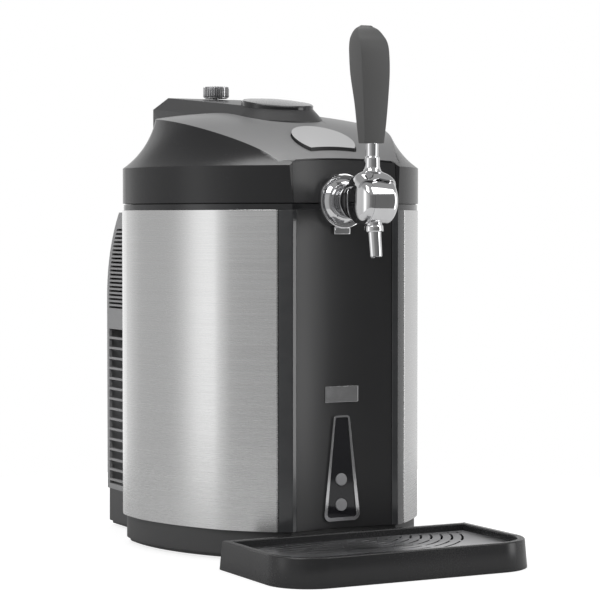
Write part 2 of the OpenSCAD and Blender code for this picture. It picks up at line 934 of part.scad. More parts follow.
module hinge_bracket_room() {
  for (s = [-1, 1]) {
    x0 = s > 0 ? bracket_in : -bracket_out;
    x1 = s > 0 ? bracket_out : -bracket_in;
    box([x0 - gap, rear_y - gap, bracket_top - 34 - gap],
        [x1 + gap, rear_y + leaf_t + gap, far]);
    box([x0 - gap, rear_y, bracket_top - leaf_t - gap], [x1 + gap, far, far]);
  }
}

module hinge_pin() {
  color([0.75, 0.75, 0.77]) rod_x(pin_r, -bracket_out - 1, bracket_out + 1, hinge_y, hinge_z);
}

// Leaf on the lid, between the fixed brackets
module lid_hinge_leaf() {
  half = bracket_in - gap;
  color([0.6, 0.6, 0.62]) difference() {
    union() {
      mid_box(half, rear_y + 12, hinge_y, hump_floor_z - leaf_t, hump_floor_z);
      rod_x(eye_r, -half, half, hinge_y, hinge_z);
      mid_box(half, hinge_y - leaf_t, hinge_y, hinge_z, hump_floor_z);
    }
    rod_x(pin_r + fit, -far, far, hinge_y, hinge_z);
  }
}

// ---------- lid ----------
// The flank cuts at the rear go this much deeper, so that they don't just touch the side cuts
flank_step = 0.05;
// Section of the hollow flank in distance from an axis and height
module scoop_section(i, reach) {
  translate([reach + scoop_out, scoop_z]) {
    circle(scoop_r + i);
    translate([-scoop_r - i, 0]) square([far, far]);
    translate([0, -scoop_r]) square([far, far]);
  }
}

// Overlap of the cuts that make the hollow flanks
scoop_seam = 0.5;

// Hollow flank along one long side
module side_scoop(s, i) {
  turn_rise = (far - corner_cx) * tan(corner_turn);
  seam_y = corner_cy + scoop_seam;
  intersection() {
    translate([-s * side_cx, side_y, 0]) rotate_extrude() scoop_section(i, side_r);
    linear_extrude(far * 2) polygon([
      [0, -far], [s * far, -far], [s * far, seam_y + turn_rise],
      [s * corner_cx, seam_y], [0, seam_y]
    ]);
  }
}

// Hollow flank around one rear corner
module corner_scoop(s, i) {
  turn_rise = (far - corner_cx) * tan(corner_turn);
  intersection() {
    translate([s * corner_cx, corner_cy, 0]) rotate_extrude() scoop_section(i, corner_r);
    linear_extrude(far * 2) polygon([
      [s * corner_cx, corner_cy], [s * far, corner_cy + turn_rise],
      [s * far, far], [s * corner_cx, far]
    ]);
  }
}

// Hollow flank along the rear
module rear_scoop(i) {
  translate([-corner_cx, corner_cy, 0]) rotate([90, 0, 90])
    linear_extrude(2 * corner_cx) scoop_section(i, corner_r);
}

// Space in front of the leaning lid front, moved in by i
module front_space(i = 0) {
  h = 110;
  z0 = lid_z - 10;
  translate([0, front_cy, z0])
    cylinder(h = h, r1 = front_r + i - 10 * front_lean, r2 = front_r + i + (h - 10) * front_lean, $fn = fine);
}

// Top of a barrel that is the dome of the lid, with the flatter lip along its front, moved in by i
barrel_angle = 40;
module dome_barrel(i = 0) {
  lip_depth = far / 2;
  arc_x = dome_cross_r - dome_r;
  translate([0, dome_y, dome_top - dome_cross_r]) rotate([90, 0, 0])
    rotate([0, 0, 90 - barrel_angle / 2]) rotate_extrude(angle = barrel_angle, $fn = fine) {
      intersection() {
        translate([arc_x, 0]) circle(dome_r - i, $fn = fine);
        translate([arc_x, -far]) square([dome_r, far * 2]);
      }
      translate([dome_cross_r - dome_top + lip_z - i - lip_depth, 0]) square([lip_depth, lip_depth]);
    }
}

// Level of the dome at a place along the depth, on the middle line
function dome_level(y) = dome_top - dome_r + sqrt(pow(dome_r, 2) - pow(y - dome_y, 2));

// Outer form of the lid, moved in by i, with its underside lowered by drop
module lid_form(i = 0, drop = 0) {
  difference() {
    intersection() {
      plan_block(lid_z - drop, far, i);
      dome_barrel(i);
    }
    front_space(i);
    for (s = [-1, 1]) {
      side_scoop(s, i);
      corner_scoop(s, i + flank_step);
    }
    rear_scoop(i + flank_step);
  }
}

// Outline of the release button, grown by g
module button_plan(g = 0) {
  difference() {
    translate([0, button_back_y - button_r]) circle(button_r + g);
    translate([0, front_cy]) circle(front_r + button_front_gap - g);
  }
}

// Shaft through the lid top for the cartridge under the hump
shaft_half_w = 31;
shaft_front_y = 8;
shaft_z = 358;
fascia_t = 2;
fascia_half_w = front_corner_x - fascia_edge;
module lid_shell() {
  color([0.3, 0.3, 0.31]) difference() {
    lid_form();
    lid_form(wall, 2);
    fascia_room(gap);
    tap_notch(shank_r + 1.5);
    linear_extrude(far * 2) button_plan(button_gap);
    mid_box(shaft_half_w, shaft_front_y, far, shaft_z, far);
  }
}

// Room of the tap, open below, so that the lid lifts off it
module tap_notch(r) {
  rod_y(r, -far / 4, -60, z = tap_z);
  mid_box(r, -far / 4, -60, 0, tap_z);
}

// Place of the glossy front piece, grown by g at its sides and top
module fascia_room(g = 0) {
  intersection() {
    mid_box(fascia_half_w + g, -far / 4, 0, 0, far);
    front_space(fascia_t);
    dome_barrel(fascia_drop + gap - g);
  }
}

module lid_fascia() {
  color([0.15, 0.15, 0.15]) difference() {
    intersection() {
      fascia_room();
      plan_block(lid_z, far, -5);
    }
    front_space(0.3);
    tap_notch(shank_r + 1.5);
  }
}

inner_in = wall + 0.1;
inner_t = 2;
module lid_inner_panel() {
  t = inner_t;
  color([0.75, 0.75, 0.75]) difference() {
    union() {
      plan_block(inner_panel_z, inner_panel_z + t, inner_in);
      chamber_rod(chamber_r + 3 + t, inner_panel_z, inner_panel_z + recess_h + t);
    }
    chamber_rod(chamber_r + 3, inner_panel_z - 1, inner_panel_z + recess_h);
    mid_box(tap_bracket_half_w + 2, -far, -60, 0, inner_panel_z + recess_h - 6);
    latch_slots();
    front_space(inner_in);
  }
}

module lid_seal() {
  color([0.55, 0.55, 0.55]) difference() {
    chamber_rod(chamber_r + 10, collar_top + gap, inner_panel_z);
    chamber_rod(chamber_r + 4, 0, far);
    mid_box(tap_bracket_half_w + 2, -far, -50, 0, far);
    latch_slots();
    plan_rest(wall + 1);
  }
}

// Everything outside the body outline
module plan_rest(i) {
  difference() {
    mid_box(far, -far, far, 0, far);
    plan_block(-1, far + 1, i);
  }
}

// ---------- hump ----------
nose_skirt = 12;
function hump_top(y) = hump_z + (y - cap_y) * tan(hump_tilt);

module hump_form(i = 0) {
  plateau_y = hump_rear_y - hump_bevel;
  hull() {
    translate([0, cap_y, hump_z - i]) rotate([hump_tilt, 0, 0]) translate([0, 0, -hump_bevel])
      cylinder(h = hump_bevel, r1 = nose_r - i, r2 = nose_r - hump_bevel - i);
    translate([0, cap_y, hump_z - hump_bevel - nose_skirt]) cylinder(h = 1, r = nose_r - i);
    mid_box(hump_half_w - hump_bevel - i, plateau_y - i - eps, plateau_y - i,
            hump_top(plateau_y) - i - eps, hump_top(plateau_y) - i);
    mid_box(hump_half_w - i, hump_rear_y - i - eps, hump_rear_y - i,
            hump_floor_z + i, hump_top(plateau_y) - hump_bevel - i);
    mid_box(hump_half_w - i, rear_y + 5, rear_y + 6, hump_floor_z + i, hump_floor_z + 40);
  }
}

module hump_cover() {
  color([0.25, 0.25, 0.26]) difference() {
    hump_form();
    difference() {
      hump_form(wall);
      mid_box(far, -far, far, 0, hump_floor_z + wall);
    }
    lid_form(-eps);
    cap_frame() {
      cylinder(h = 40, r = well_r + 1, center = true);
      translate([0, 0, -0.6]) cylinder(h = 20, r = cap_r + gap);
    }
    translate([0, knob_y, hump_floor_z + 20]) cylinder(h = far, r = 5 + gap);
  }
}

// Frame of the cap: its seat is the plane z = 0
cap_seat_z = hump_z - 1;
module cap_frame() {
  translate([0, cap_y, cap_seat_z]) rotate([cap_tilt, 0, 0]) children();
}

module cap_well() {
  color([0.2, 0.2, 0.2]) difference() {
    cap_frame() difference() {
      translate([0, 0, -well_depth]) cylinder(h = well_depth - 0.8, r = well_r + 1 - fit);
      translate([0, 0, -well_depth + 2]) cylinder(h = far, r = well_r - 1.5);
    }
    // way into the cartridge sleeve
    rod_y(sleeve_r - sleeve_t, cap_y, far, z = sleeve_z);
  }
}

module gas_cap() {
  crown_r = (pow(cap_r, 2) + pow(cap_crown, 2)) / (2 * cap_crown);
  color([0.55, 0.55, 0.55]) cap_frame() {
    intersection() {
      cylinder(h = cap_rim_h + cap_crown, r = cap_r - 2.2);
      translate([0, 0, cap_rim_h + cap_crown - 0.4 - crown_r]) sphere(crown_r, $fn = fine);
    }
    difference() {
      translate([0, 0, -8]) cylinder(h = 8 + eps, r = well_r - 1.5 - gap);
      translate([0, 0, -9]) cylinder(h = 9, r = well_r - 4.5);
    }
  }
}

module gas_cap_ring() {
  color([0.1, 0.1, 0.1]) cap_frame() rotate_extrude() difference() {
    union() {
      translate([cap_r - 2.2, 0]) square([2.2, cap_rim_h - 1]);
      translate([cap_r - 2.2, cap_rim_h - 2.2]) circle(2.2, $fn = 48);
    }
    translate([0, -1]) square([cap_r - 2.2, cap_rim_h + 9]);
    translate([0, -5]) square([far, 5]);
  }
}

// Cartridge sleeve: from the well to the regulator
sleeve_t = 1.6;
sleeve_r = cartridge_r + 0.6 + sleeve_t;
sleeve_z = cap_seat_z - well_depth / 2 - 2;
sleeve_y0 = cap_y + well_r + 6;
sleeve_y1 = knob_y - 14;
module cartridge_sleeve() {
  color([0.35, 0.35, 0.36]) difference() {
    rod_y(sleeve_r, sleeve_y0, sleeve_y1, z = sleeve_z);
    rod_y(sleeve_r - sleeve_t, sleeve_y0 - 1, sleeve_y1 - 4, z = sleeve_z);
  }
}

module gas_cartridge() {
  y1 = sleeve_y1 - 4.3;
  y0 = y1 - cartridge_len;
  neck = 12;
  color([0.75, 0.75, 0.78]) {
    rod_y(cartridge_r, y0 + cartridge_r, y1 - neck - 8, z = sleeve_z);
    translate([0, y0 + cartridge_r, sleeve_z]) sphere(cartridge_r);
    translate([0, y1 - neck - 8, sleeve_z]) rotate([-90, 0, 0])
      cylinder(h = 8, r1 = cartridge_r, r2 = 4);
    rod_y(4, y1 - neck, y1, z = sleeve_z);
  }
}

regulator_r = 11;
module regulator_body() {
  knob_base = hump_top(knob_y);
  color([0.6, 0.6, 0.58]) difference() {
    union() {
      translate([0, knob_y, sleeve_z - 14]) cylinder(h = knob_base - 8 - sleeve_z + 14, r = regulator_r);
      translate([0, knob_y, sleeve_z]) cylinder(h = knob_base - 1 - sleeve_z, r = 5);
      rod_y(8, sleeve_y1, knob_y, z = sleeve_z);
      // foot on the hump floor
      translate([0, knob_y, hump_floor_z + wall])
        cylinder(h = sleeve_z - hump_floor_z - wall - 13, r = 7);
    }
    translate([0, knob_y, knob_base - 14]) cylinder(h = far, r = 3 + fit);
  }
}

module regulator_knob() {
  z0 = hump_top(knob_y) + 1.6;
  rib_r = 0.55;
  color([0.7, 0.7, 0.72]) translate([0, knob_y, z0]) {
    difference() {
      union() {
        cylinder(h = knob_h - 0.8, r = knob_r);
        translate([0, 0, knob_h - 0.8]) cylinder(h = 0.8, r1 = knob_r, r2 = knob_r - 0.8);
      }
      for (k = [0 : knob_ribs - 1]) rotate([0, 0, k * 360 / knob_ribs])
        translate([knob_r, 0, -1]) cylinder(h = knob_h - 0.8, r = rib_r, $fn = 16);
    }
    translate([0, 0, -12]) cylinder(h = 12 + eps, r = 3);
  }
}

// ---------- lid release ----------
latch_bar_z = inner_panel_z + recess_h + inner_t + 1;
latch_bar_h = 4;
button_y = -56;
button_t = 5;
module release_button() {
  color([0.6, 0.6, 0.61]) {
    intersection() {
      linear_extrude(far * 2) button_plan();
      difference() {
        dome_barrel(-button_raise);
        dome_barrel(button_t - button_raise);
      }
    }
    translate([0, button_y, button_low_z]) cylinder(h = dome_level(button_y) - button_low_z, r = 3.5);
  }
}

button_low_z = latch_bar_z + latch_bar_h + button_travel + gap;

// Coil spring between the latch bar and the button, as one winding tube
spring_wire = 0.9;
spring_r = 6;
spring_turns = 5;
module button_spring() {
  z0 = latch_bar_z + latch_bar_h + spring_wire + 0.1;
  z1 = dome_level(button_y - spring_r) + button_raise - button_t - spring_wire - 0.6;
  color([0.7, 0.7, 0.7]) translate([0, button_y, 0])
    helix_tube(spring_r, z0, z1, spring_turns, spring_wire);
}

// Round wire wound as a helix: rings of six corners, closed at both ends
module helix_tube(r, z0, z1, turns, wire) {
  sides = 6;
  steps = turns * 12;
  rings = [
    for (k = [0 : steps]) let (a = k * 30, z = z0 + (z1 - z0) * k / steps)
      for (j = [0 : sides - 1]) let (b = j * 360 / sides, q = r + wire * cos(b))
        [q * cos(a), q * sin(a), z + wire * sin(b)]
  ];
  last = steps * sides;
  walls = [
    for (k = [0 : steps - 1], j = [0 : sides - 1])
      let (a = k * sides + j, b = k * sides + (j + 1) % sides)
      each [[a, b, b + sides], [a, b + sides, a + sides]]
  ];
  start_cap = [for (j = [1 : sides - 2]) [0, j + 1, j]];
  end_cap = [for (j = [1 : sides - 2]) [last, last + j, last + j + 1]];
  polyhedron(rings, concat(walls, start_cap, end_cap));
}

module latch_slide() {
  half = latch_x + latch_w / 2;
  color([0.25, 0.25, 0.25]) {
    mid_box(half, latch_y, latch_y + latch_t, latch_bar_z, latch_bar_z + latch_bar_h);
    box([-9, latch_y, latch_bar_z], [9, button_y + 9, latch_bar_z + latch_bar_h]);
    for (s = [-1, 1])
      box([s * latch_x - latch_w / 2, latch_y, panel_z - 4],
          [s * latch_x + latch_w / 2, latch_y + latch_t, latch_bar_z + latch_bar_h]);
  }
}

// ---------- tap ----------
module tap_bracket() {
  color([0.65, 0.65, 0.67]) difference() {
    mid_box(tap_bracket_half_w, bracket_front_y, bracket_front_y + bracket_t, bracket_z, tap_z + 14);
    rod_y(shank_r + fit, -far, 0, z = tap_z);
  }
}

gasket_t = 1.5;
flange_back_y = front_y - gasket_t - 0.3;
flange_face_y = flange_back_y - flange_t;
tab_half_w = 8;
tab_z = 281.8;
module tap_gasket() {
  color([0.06, 0.06, 0.06]) difference() {
    rod_y(flange_r - 1, flange_back_y, front_y + 4, z = tap_z);
    rod_y(shank_r + fit, -far, 0, z = tap_z);
    tap_backing();
  }
}

// What the tap is pressed on: the front panel and collar, and the room of the lid
module tap_backing() {
  plan_block(0, collar_top, front_step);
  plan_block(collar_top, far, -gap);
}

module tap_flange() {
  color([0.85, 0.85, 0.87]) difference() {
    union() {
      rod_y(flange_r, flange_face_y + 1.2, flange_back_y, z = tap_z);
      translate([0, flange_face_y + 1.2, tap_z]) rotate([90, 0, 0])
        cylinder(h = 1.2, r1 = flange_r, r2 = flange_r - 1.2);
      mid_box(tab_half_w, flange_back_y - 2.6, flange_back_y, tab_z, tap_z);
      mid_box(tab_half_w, flange_back_y - eps, front_y + 4, tab_z, tab_z + 4);
    }
    rod_y(shank_r + fit, -far, 0, z = tap_z);
    tap_backing();
  }
}

drum_back_y = drum_y + drum_r - 4;
nut_t = 4;
shank_end_y = bracket_front_y + bracket_t + nut_t + 0.5;
module tap_shank() {
  color([0.85, 0.85, 0.87]) difference() {
    union() {
      rod_y(shank_r, flange_face_y - 1, shank_end_y, z = tap_z);
      rod_y(neck_r, drum_back_y, flange_face_y, z = tap_z);
      rod_y(neck_r + 1.6, flange_face_y - 6, flange_face_y, z = tap_z);
      rod_y(neck_r + 1.2, flange_face_y - 17, flange_face_y - 11, z = tap_z);
    }
    rod_y(bore_r + fit, -far, 0, z = tap_z);
    rod_x(drum_r, -far, far, drum_y, tap_z);
  }
}

module tap_nut() {
  color([0.7, 0.68, 0.6]) difference() {
    translate([0, bracket_front_y + bracket_t, tap_z]) rotate([-90, 0, 0])
      cylinder(h = nut_t, r = 13, $fn = 6);
    rod_y(shank_r, -far, 0, z = tap_z);
  }
}

cavity_half_w = 4.5;
cavity_r = 12;
cheek = 3;
lever_back = 4;
lever_front = 40;
// Round room of the lever's tongue in Y and Z, with a slot open to the front and above
module lever_cavity() {
  reach = drum_r + 9;
  slot_w = cavity_half_w + 1;
  circle(cavity_r);
  polygon([
    [slot_w, 0], [slot_w + reach * sin(lever_back), reach * cos(lever_back)],
    [-slot_w - reach * sin(lever_front), reach * cos(lever_front)], [-slot_w, 0]
  ]);
}

module tap_drum() {
  color([0.85, 0.85, 0.87]) difference() {
    union() {
      rod_x(drum_r, -drum_half_w + cheek, drum_half_w - cheek, drum_y, tap_z);
      for (s = [-1, 1]) translate([s * (drum_half_w - cheek), drum_y, tap_z])
        rotate([0, s * 90, 0]) cylinder(h = cheek, r1 = drum_r, r2 = drum_r - cheek);
    }
    translate([-cavity_half_w, drum_y, tap_z]) rotate([90, 0, 90])
      linear_extrude(2 * cavity_half_w) lever_cavity();
    rod_y(bore_r + fit, drum_y, 0, z = tap_z);
    translate([0, drum_y, tap_z]) rotate([-spout_lean, 0, 0])
      translate([0, 0, -drum_r - 9]) cylinder(h = drum_r + 9, r = bore_r);
    rod_x(pivot_r, -drum_half_w + 4, drum_half_w - 4, drum_y, tap_z);
  }
}

pivot_r = 2.5;
module tap_pivot_pin() {
  color([0.6, 0.6, 0.62]) rod_x(pivot_r, -drum_half_w + 4, drum_half_w - 4, drum_y, tap_z);
}

spout_collar_r = 8;
spout_collar_h = 7;
module tap_spout() {
  len = (tap_z - spout_z) / cos(spout_lean);
  color([0.85, 0.85, 0.87]) translate([0, drum_y, tap_z]) rotate([-spout_lean, 0, 0]) difference() {
    union() {
      translate([0, 0, -len]) cylinder(h = len - 15, r = spout_r);
      translate([0, 0, -drum_r - spout_collar_h]) cylinder(h = spout_collar_h + 3, r = spout_collar_r);
    }
    translate([0, 0, -len - 1]) cylinder(h = far, r = bore_r);
    rod_x(drum_r, -far, far);
  }
}

hood_t = 2.1;
hood_r = drum_r + gap + hood_t;
tongue_half_w = 3.4;
stem_r = 6.5;
stem_top_r = 5.2;
spigot_r = 3.2;
module tap_lever() {
  half = drum_half_w - 0.5;
  color([0.85, 0.85, 0.87]) translate([0, drum_y, tap_z]) difference() {
    union() {
      intersection() {
        rod_x(hood_r, -half, half);
        rotate([90, 0, 90]) translate([0, 0, -half]) linear_extrude(2 * half)
          polygon([[0, 0], [-far * tan(hood_angle), far], [far * tan(hood_angle), far]]);
      }
      // root of the stem
      translate([0, 0, drum_r]) cylinder(h = 8, r1 = 12, r2 = stem_r);
      translate([0, 0, drum_r]) cylinder(h = 16, r = stem_r);
      translate([0, 0, drum_r]) cylinder(h = handle_z - tap_z - drum_r, r = stem_top_r);
      translate([0, 0, drum_r]) cylinder(h = handle_z - tap_z - drum_r + 10, r = spigot_r);
    }
    rod_x(drum_r + gap, -far, far);
  }
  // tongue down to the pivot
  color([0.85, 0.85, 0.87]) translate([0, drum_y, tap_z]) difference() {
    union() {
      box([-tongue_half_w, -3.5, 0], [tongue_half_w, 3.5, drum_r + 1]);
      rod_x(6, -tongue_half_w, tongue_half_w);
    }
    rod_x(pivot_r + fit, -far, far);
  }
}

module tap_valve() {
  color([0.7, 0.7, 0.7]) rod_y(bore_r, drum_y + 6 + 4.5, -70, z = tap_z);
}

handle_mid_y = drum_y + 2;
// Side view of the handle
module handle_side() {
  top_r = 7;
  hull() {
    translate([handle_mid_y - 6.1, handle_z]) square([12.7, 1]);
    translate([handle_mid_y - 1.1, handle_z + 46]) circle(8, $fn = 48);
    translate([handle_mid_y + 4.6, handle_top_z - 23]) circle(11.5, $fn = 48);
    translate([handle_mid_y + 8, handle_top_z - top_r]) circle(top_r, $fn = 48);
  }
}

// Front view of the handle
module handle_front() {
  r = handle_top_w;
  hull() {
    translate([-handle_low_w, handle_z]) square([2 * handle_low_w, 1]);
    translate([0, handle_top_z - r]) circle(r, $fn = 64);
  }
}

module tap_handle() {
  color([0.12, 0.12, 0.12]) difference() {
    intersection() {
      translate([-far / 2, 0, 0]) rotate([90, 0, 90]) linear_extrude(far) handle_side();
      rotate([90, 0, 0]) linear_extrude(far) handle_front();
    }
    translate([0, drum_y, handle_z - 1]) cylinder(h = 11.1, r = spigot_r);
  }
}

// ---------- drip tray ----------
// Tray outline, moved in by i
module tray_plan(i = 0) {
  w = tray_half_w - i;
  straight_y = tray_front_y + tray_corner_r;
  translate([-w, straight_y]) square([2 * w, tray_rear_y - straight_y - i]);
  translate([-tray_half_w + tray_corner_r, tray_front_y + i])
    square([2 * (tray_half_w - tray_corner_r), tray_corner_r]);
  for (s = [-1, 1])
    translate([s * (tray_half_w - tray_corner_r), straight_y]) circle(tray_corner_r - i);
}

tray_steps = 4;
module drip_tray() {
  step = tray_h / tray_steps;
  floor_z = tray_h - grille_drop - grille_t - 6;
  color([0.1, 0.1, 0.1]) tray_tongues();
  color([0.1, 0.1, 0.1]) difference() {
    // walls lean in toward the rim in even steps
    for (k = [0 : tray_steps - 1])
      translate([0, 0, k * step]) linear_extrude(step) tray_plan(k * tray_draft / (tray_steps - 1));
    translate([0, 0, tray_h - grille_drop - grille_t]) linear_extrude(far) tray_plan(rim_w);
    translate([0, 0, floor_z]) linear_extrude(far) tray_plan(rim_w + 4);
  }
}

slot_rows = 10;
slot_pitch = 9;
slot_w = 2;
module drip_grille() {
  z0 = tray_h - grille_drop - grille_t;
  color([0.2, 0.2, 0.2]) difference() {
    translate([0, 0, z0 + 0.02]) linear_extrude(grille_t) tray_plan(rim_w + gap);
    // arc slots around the front of the body
    intersection() {
      translate([0, tray_rear_y + 10, 0]) linear_extrude(far) for (k = [0 : slot_rows - 1])
        difference() {
          circle(24 + k * slot_pitch + slot_w);
          circle(24 + k * slot_pitch);
        }
      linear_extrude(far) difference() {
        tray_plan(rim_w + 6);
        for (a = [-72 : 24 : 72])
          translate([0, tray_rear_y + 10]) rotate(a) translate([-2.5, -far]) square([5, far]);
      }
    }
  }
}

base();
feet();
cabinet_shell();
steel_panel_left();
steel_panel_right();
front_trim_left();
front_trim_right();
front_panel();
top_collar();
chamber_liner();
foam_insulation();
badge_plate();
control_bezel();
control_window();
control_board();
power_button();
temperature_button();
rear_housing();
rear_grille();
mains_inlet();
power_board();
board_bracket();
cold_block();
peltier_module();
heat_sink();
fan_frame();
fan_rotor();
housing_screws();
hinge_brackets();
hinge_pin();
lid_hinge_leaf();
lid_shell();
lid_fascia();
lid_inner_panel();
lid_seal();
hump_cover();
cap_well();
gas_cap();
gas_cap_ring();
cartridge_sleeve();
gas_cartridge();
regulator_body();
regulator_knob();
release_button();
button_spring();
latch_slide();
tap_bracket();
tap_gasket();
tap_flange();
tap_shank();
tap_nut();
tap_drum();
tap_spout();
tap_lever();
tap_pivot_pin();
tap_valve();
tap_handle();
drip_tray();
drip_grille();
strike_plate();
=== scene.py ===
import json
import math

import bmesh
import bpy
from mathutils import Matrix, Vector

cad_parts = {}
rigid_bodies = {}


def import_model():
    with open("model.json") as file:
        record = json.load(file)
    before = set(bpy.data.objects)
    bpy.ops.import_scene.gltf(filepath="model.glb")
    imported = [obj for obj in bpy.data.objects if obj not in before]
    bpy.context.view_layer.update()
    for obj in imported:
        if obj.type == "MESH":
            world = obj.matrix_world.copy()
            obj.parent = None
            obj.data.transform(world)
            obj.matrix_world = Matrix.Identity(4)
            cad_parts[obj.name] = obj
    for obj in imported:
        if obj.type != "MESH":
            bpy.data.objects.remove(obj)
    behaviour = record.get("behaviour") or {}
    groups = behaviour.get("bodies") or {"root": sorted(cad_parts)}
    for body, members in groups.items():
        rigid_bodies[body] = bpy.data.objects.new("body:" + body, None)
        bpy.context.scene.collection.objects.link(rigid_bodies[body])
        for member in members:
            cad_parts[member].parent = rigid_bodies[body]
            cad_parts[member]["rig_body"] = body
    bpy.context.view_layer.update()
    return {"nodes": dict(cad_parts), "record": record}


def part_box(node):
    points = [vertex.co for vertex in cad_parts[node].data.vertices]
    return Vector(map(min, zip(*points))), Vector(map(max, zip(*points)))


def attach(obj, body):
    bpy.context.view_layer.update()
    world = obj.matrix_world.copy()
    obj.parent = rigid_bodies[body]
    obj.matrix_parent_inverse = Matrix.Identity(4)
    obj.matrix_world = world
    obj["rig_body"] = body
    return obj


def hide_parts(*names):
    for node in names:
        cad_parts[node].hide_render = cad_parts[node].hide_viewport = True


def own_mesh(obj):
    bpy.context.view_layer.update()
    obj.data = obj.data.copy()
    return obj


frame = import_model()
bpy.ops.object.select_all(action="DESELECT")


# ---------- The studio ----------
# A white sweep of paper under and behind the dispenser, soft boxes on both sides and above,
# and dark cards that only the metal sees, as for a product photograph.
scene = bpy.context.scene
scene.view_settings.view_transform = "Standard"

camera = bpy.data.cameras.new("photo_view")
camera.sensor_width = 36.0
camera.lens = 129.32
camera.clip_end = 20.0
camera_object = bpy.data.objects.new("photo_view", camera)
scene.collection.objects.link(camera_object)
camera_object.location = (-0.90393, -1.71303, 0.29246)
looking = Vector((0.46638712, 0.88384154, -0.03615516))
camera_object.rotation_euler = looking.to_track_quat("-Z", "Y").to_euler()
scene.camera = camera_object


class Value:
    """A socket of a material or world that can be used in sums, products and comparisons."""

    def __init__(self, tree, socket):
        self.tree = tree
        self.socket = socket

    def maths(self, operation, other=None, swap=False):
        maths = self.tree.nodes.new("ShaderNodeMath")
        maths.operation = operation
        places = (1, 0) if swap else (0, 1)
        self.tree.links.new(self.socket, maths.inputs[places[0]])
        if isinstance(other, Value):
            self.tree.links.new(other.socket, maths.inputs[places[1]])
        elif other is not None:
            maths.inputs[places[1]].default_value = other
        return Value(self.tree, maths.outputs[0])

    def __add__(self, other):
        return self.maths("ADD", other)

    __radd__ = __add__

    def __mul__(self, other):
        return self.maths("MULTIPLY", other)

    __rmul__ = __mul__

    def __sub__(self, other):
        return self.maths("SUBTRACT", other)

    def __rsub__(self, other):
        return self.maths("SUBTRACT", other, swap=True)

    def __gt__(self, other):
        return self.maths("GREATER_THAN", other)

class Finish:
    """A node tree under construction, with one method that adds any node."""

    def __init__(self, tree):
        self.tree = tree

    def node(self, kind, settings=None, out=0, **values):
        made = self.tree.nodes.new("ShaderNode" + kind)
        for name, setting in (settings or {}).items():
            if name == "stops":
                ramp = made.color_ramp
                for at, colour in setting:
                    spot = ramp.elements.new(at)
                    spot.color = (*colour, 1.0) if isinstance(colour, tuple) else (colour,) * 3 + (1.0,)
                ramp.elements.remove(ramp.elements[0])
                ramp.elements.remove(ramp.elements[-1])
            else:
                setattr(made, name, setting)
        for name, value in values.items():
            by_place = name[0] == "i" and name[1:].isdigit()
            socket = made.inputs[int(name[1:]) if by_place else name]
            if isinstance(value, Value):
                self.tree.links.new(value.socket, socket)
            else:
                socket.default_value = value
        return Value(self.tree, made.outputs[out])


def material(name, colour, roughness, **constants):
    """A new material: its shader holds the constant values, and finish adds what varies."""
    made = bpy.data.materials.new(name)
    made.use_nodes = True
    finish = Finish(made.node_tree)
    finish.material = made
    finish.shader = made.node_tree.nodes["Principled BSDF"]
    finish.shader.inputs["Base Color"].default_value = (*colour, 1.0)
    finish.shader.inputs["Roughness"].default_value = roughness
    for socket, value in constants.items():
        finish.shader.inputs[socket.replace("_", " ")].default_value = value
    made.diffuse_color = (*colour, 1.0)
    return finish


def feed(finish, socket, value):
    finish.tree.links.new(value.socket, finish.shader.inputs[socket])


def place(finish, scale=(1, 1, 1), turn=(0, 0, 0)):
    """Object coordinates, stretched by scale."""
    where = finish.node("TexCoord", out=3)
    return finish.node("Mapping", Vector=where, Rotation=turn, Scale=scale)


def grain(finish, scale, detail=3.0, stretch=(1, 1, 1), turn=(0, 0, 0)):
    """Noise from 0 to 1 in metres of the object."""
    return finish.node("TexNoise", Vector=place(finish, stretch, turn), Scale=scale, Detail=detail)


def shade(finish, colour, other, amount):
    """Base colour that goes from colour to other with amount."""
    mixed = finish.node(
        "Mix", {"data_type": "RGBA"}, out=2, i0=amount, i6=(*colour, 1.0), i7=(*other, 1.0)
    )
    feed(finish, "Base Color", mixed)


def relief(finish, height, distance, strength=1.0):
    bumped = finish.node("Bump", Height=height, Distance=distance, Strength=strength)
    feed(finish, "Normal", bumped)
    return bumped


world = bpy.data.worlds.new("studio")
scene.world = world
world.use_nodes = True
sky = Finish(world.node_tree)
direction = sky.node("TexCoord", out=0)
split = {"i0": direction}
across = sky.node("SeparateXYZ", out=0, **split)
along = sky.node("SeparateXYZ", out=1, **split)
upward = sky.node("SeparateXYZ", out=2, **split)
# Brightness of the walls by compass bearing: 0 is the object's right, 0.25 its rear, 0.5 its left
walls = sky.node(
    "ValToRGB",
    {
        "stops": [
            (0.0, 0.5), (0.04, 0.7), (0.12, 0.8), (0.22, 1.15), (0.295, 1.15), (0.325, 0.62),
            (0.43, 0.56), (0.448, 0.8), (0.464, 1.3),
            (0.492, 1.4), (0.499, 0.95), (0.53, 0.7), (0.55, 0.46),
            (0.61, 0.42), (0.66, 0.22), (0.80, 0.14), (0.872, 0.16), (0.885, 3.0), (0.925, 3.0),
            (0.94, 0.3), (1.0, 0.55),
        ]
    },
    Fac=along.maths("ARCTAN2", across).maths("DIVIDE", 2 * math.pi).maths("FRACT"),
)
soft_step = {"interpolation_type": "SMOOTHSTEP"}
ceiling = sky.node("MapRange", soft_step, i0=upward, i1=0.34, i2=0.5, i3=0.0, i4=1.0)
room = sky.node("Mix", {"data_type": "RGBA"}, out=2, i0=ceiling, i6=walls, i7=(0.34, 0.34, 0.34, 1.0))
seen = sky.node("LightPath", out="Is Camera Ray") + sky.node("LightPath", out="Is Transmission Ray")
colour = sky.node("Mix", {"data_type": "RGBA"}, out=2, i0=seen, i6=room, i7=(1.0, 1.0, 1.0, 1.0))
background = world.node_tree.nodes["Background"]
world.node_tree.links.new(colour.socket, background.inputs["Color"])
background.inputs["Strength"].default_value = 1.0

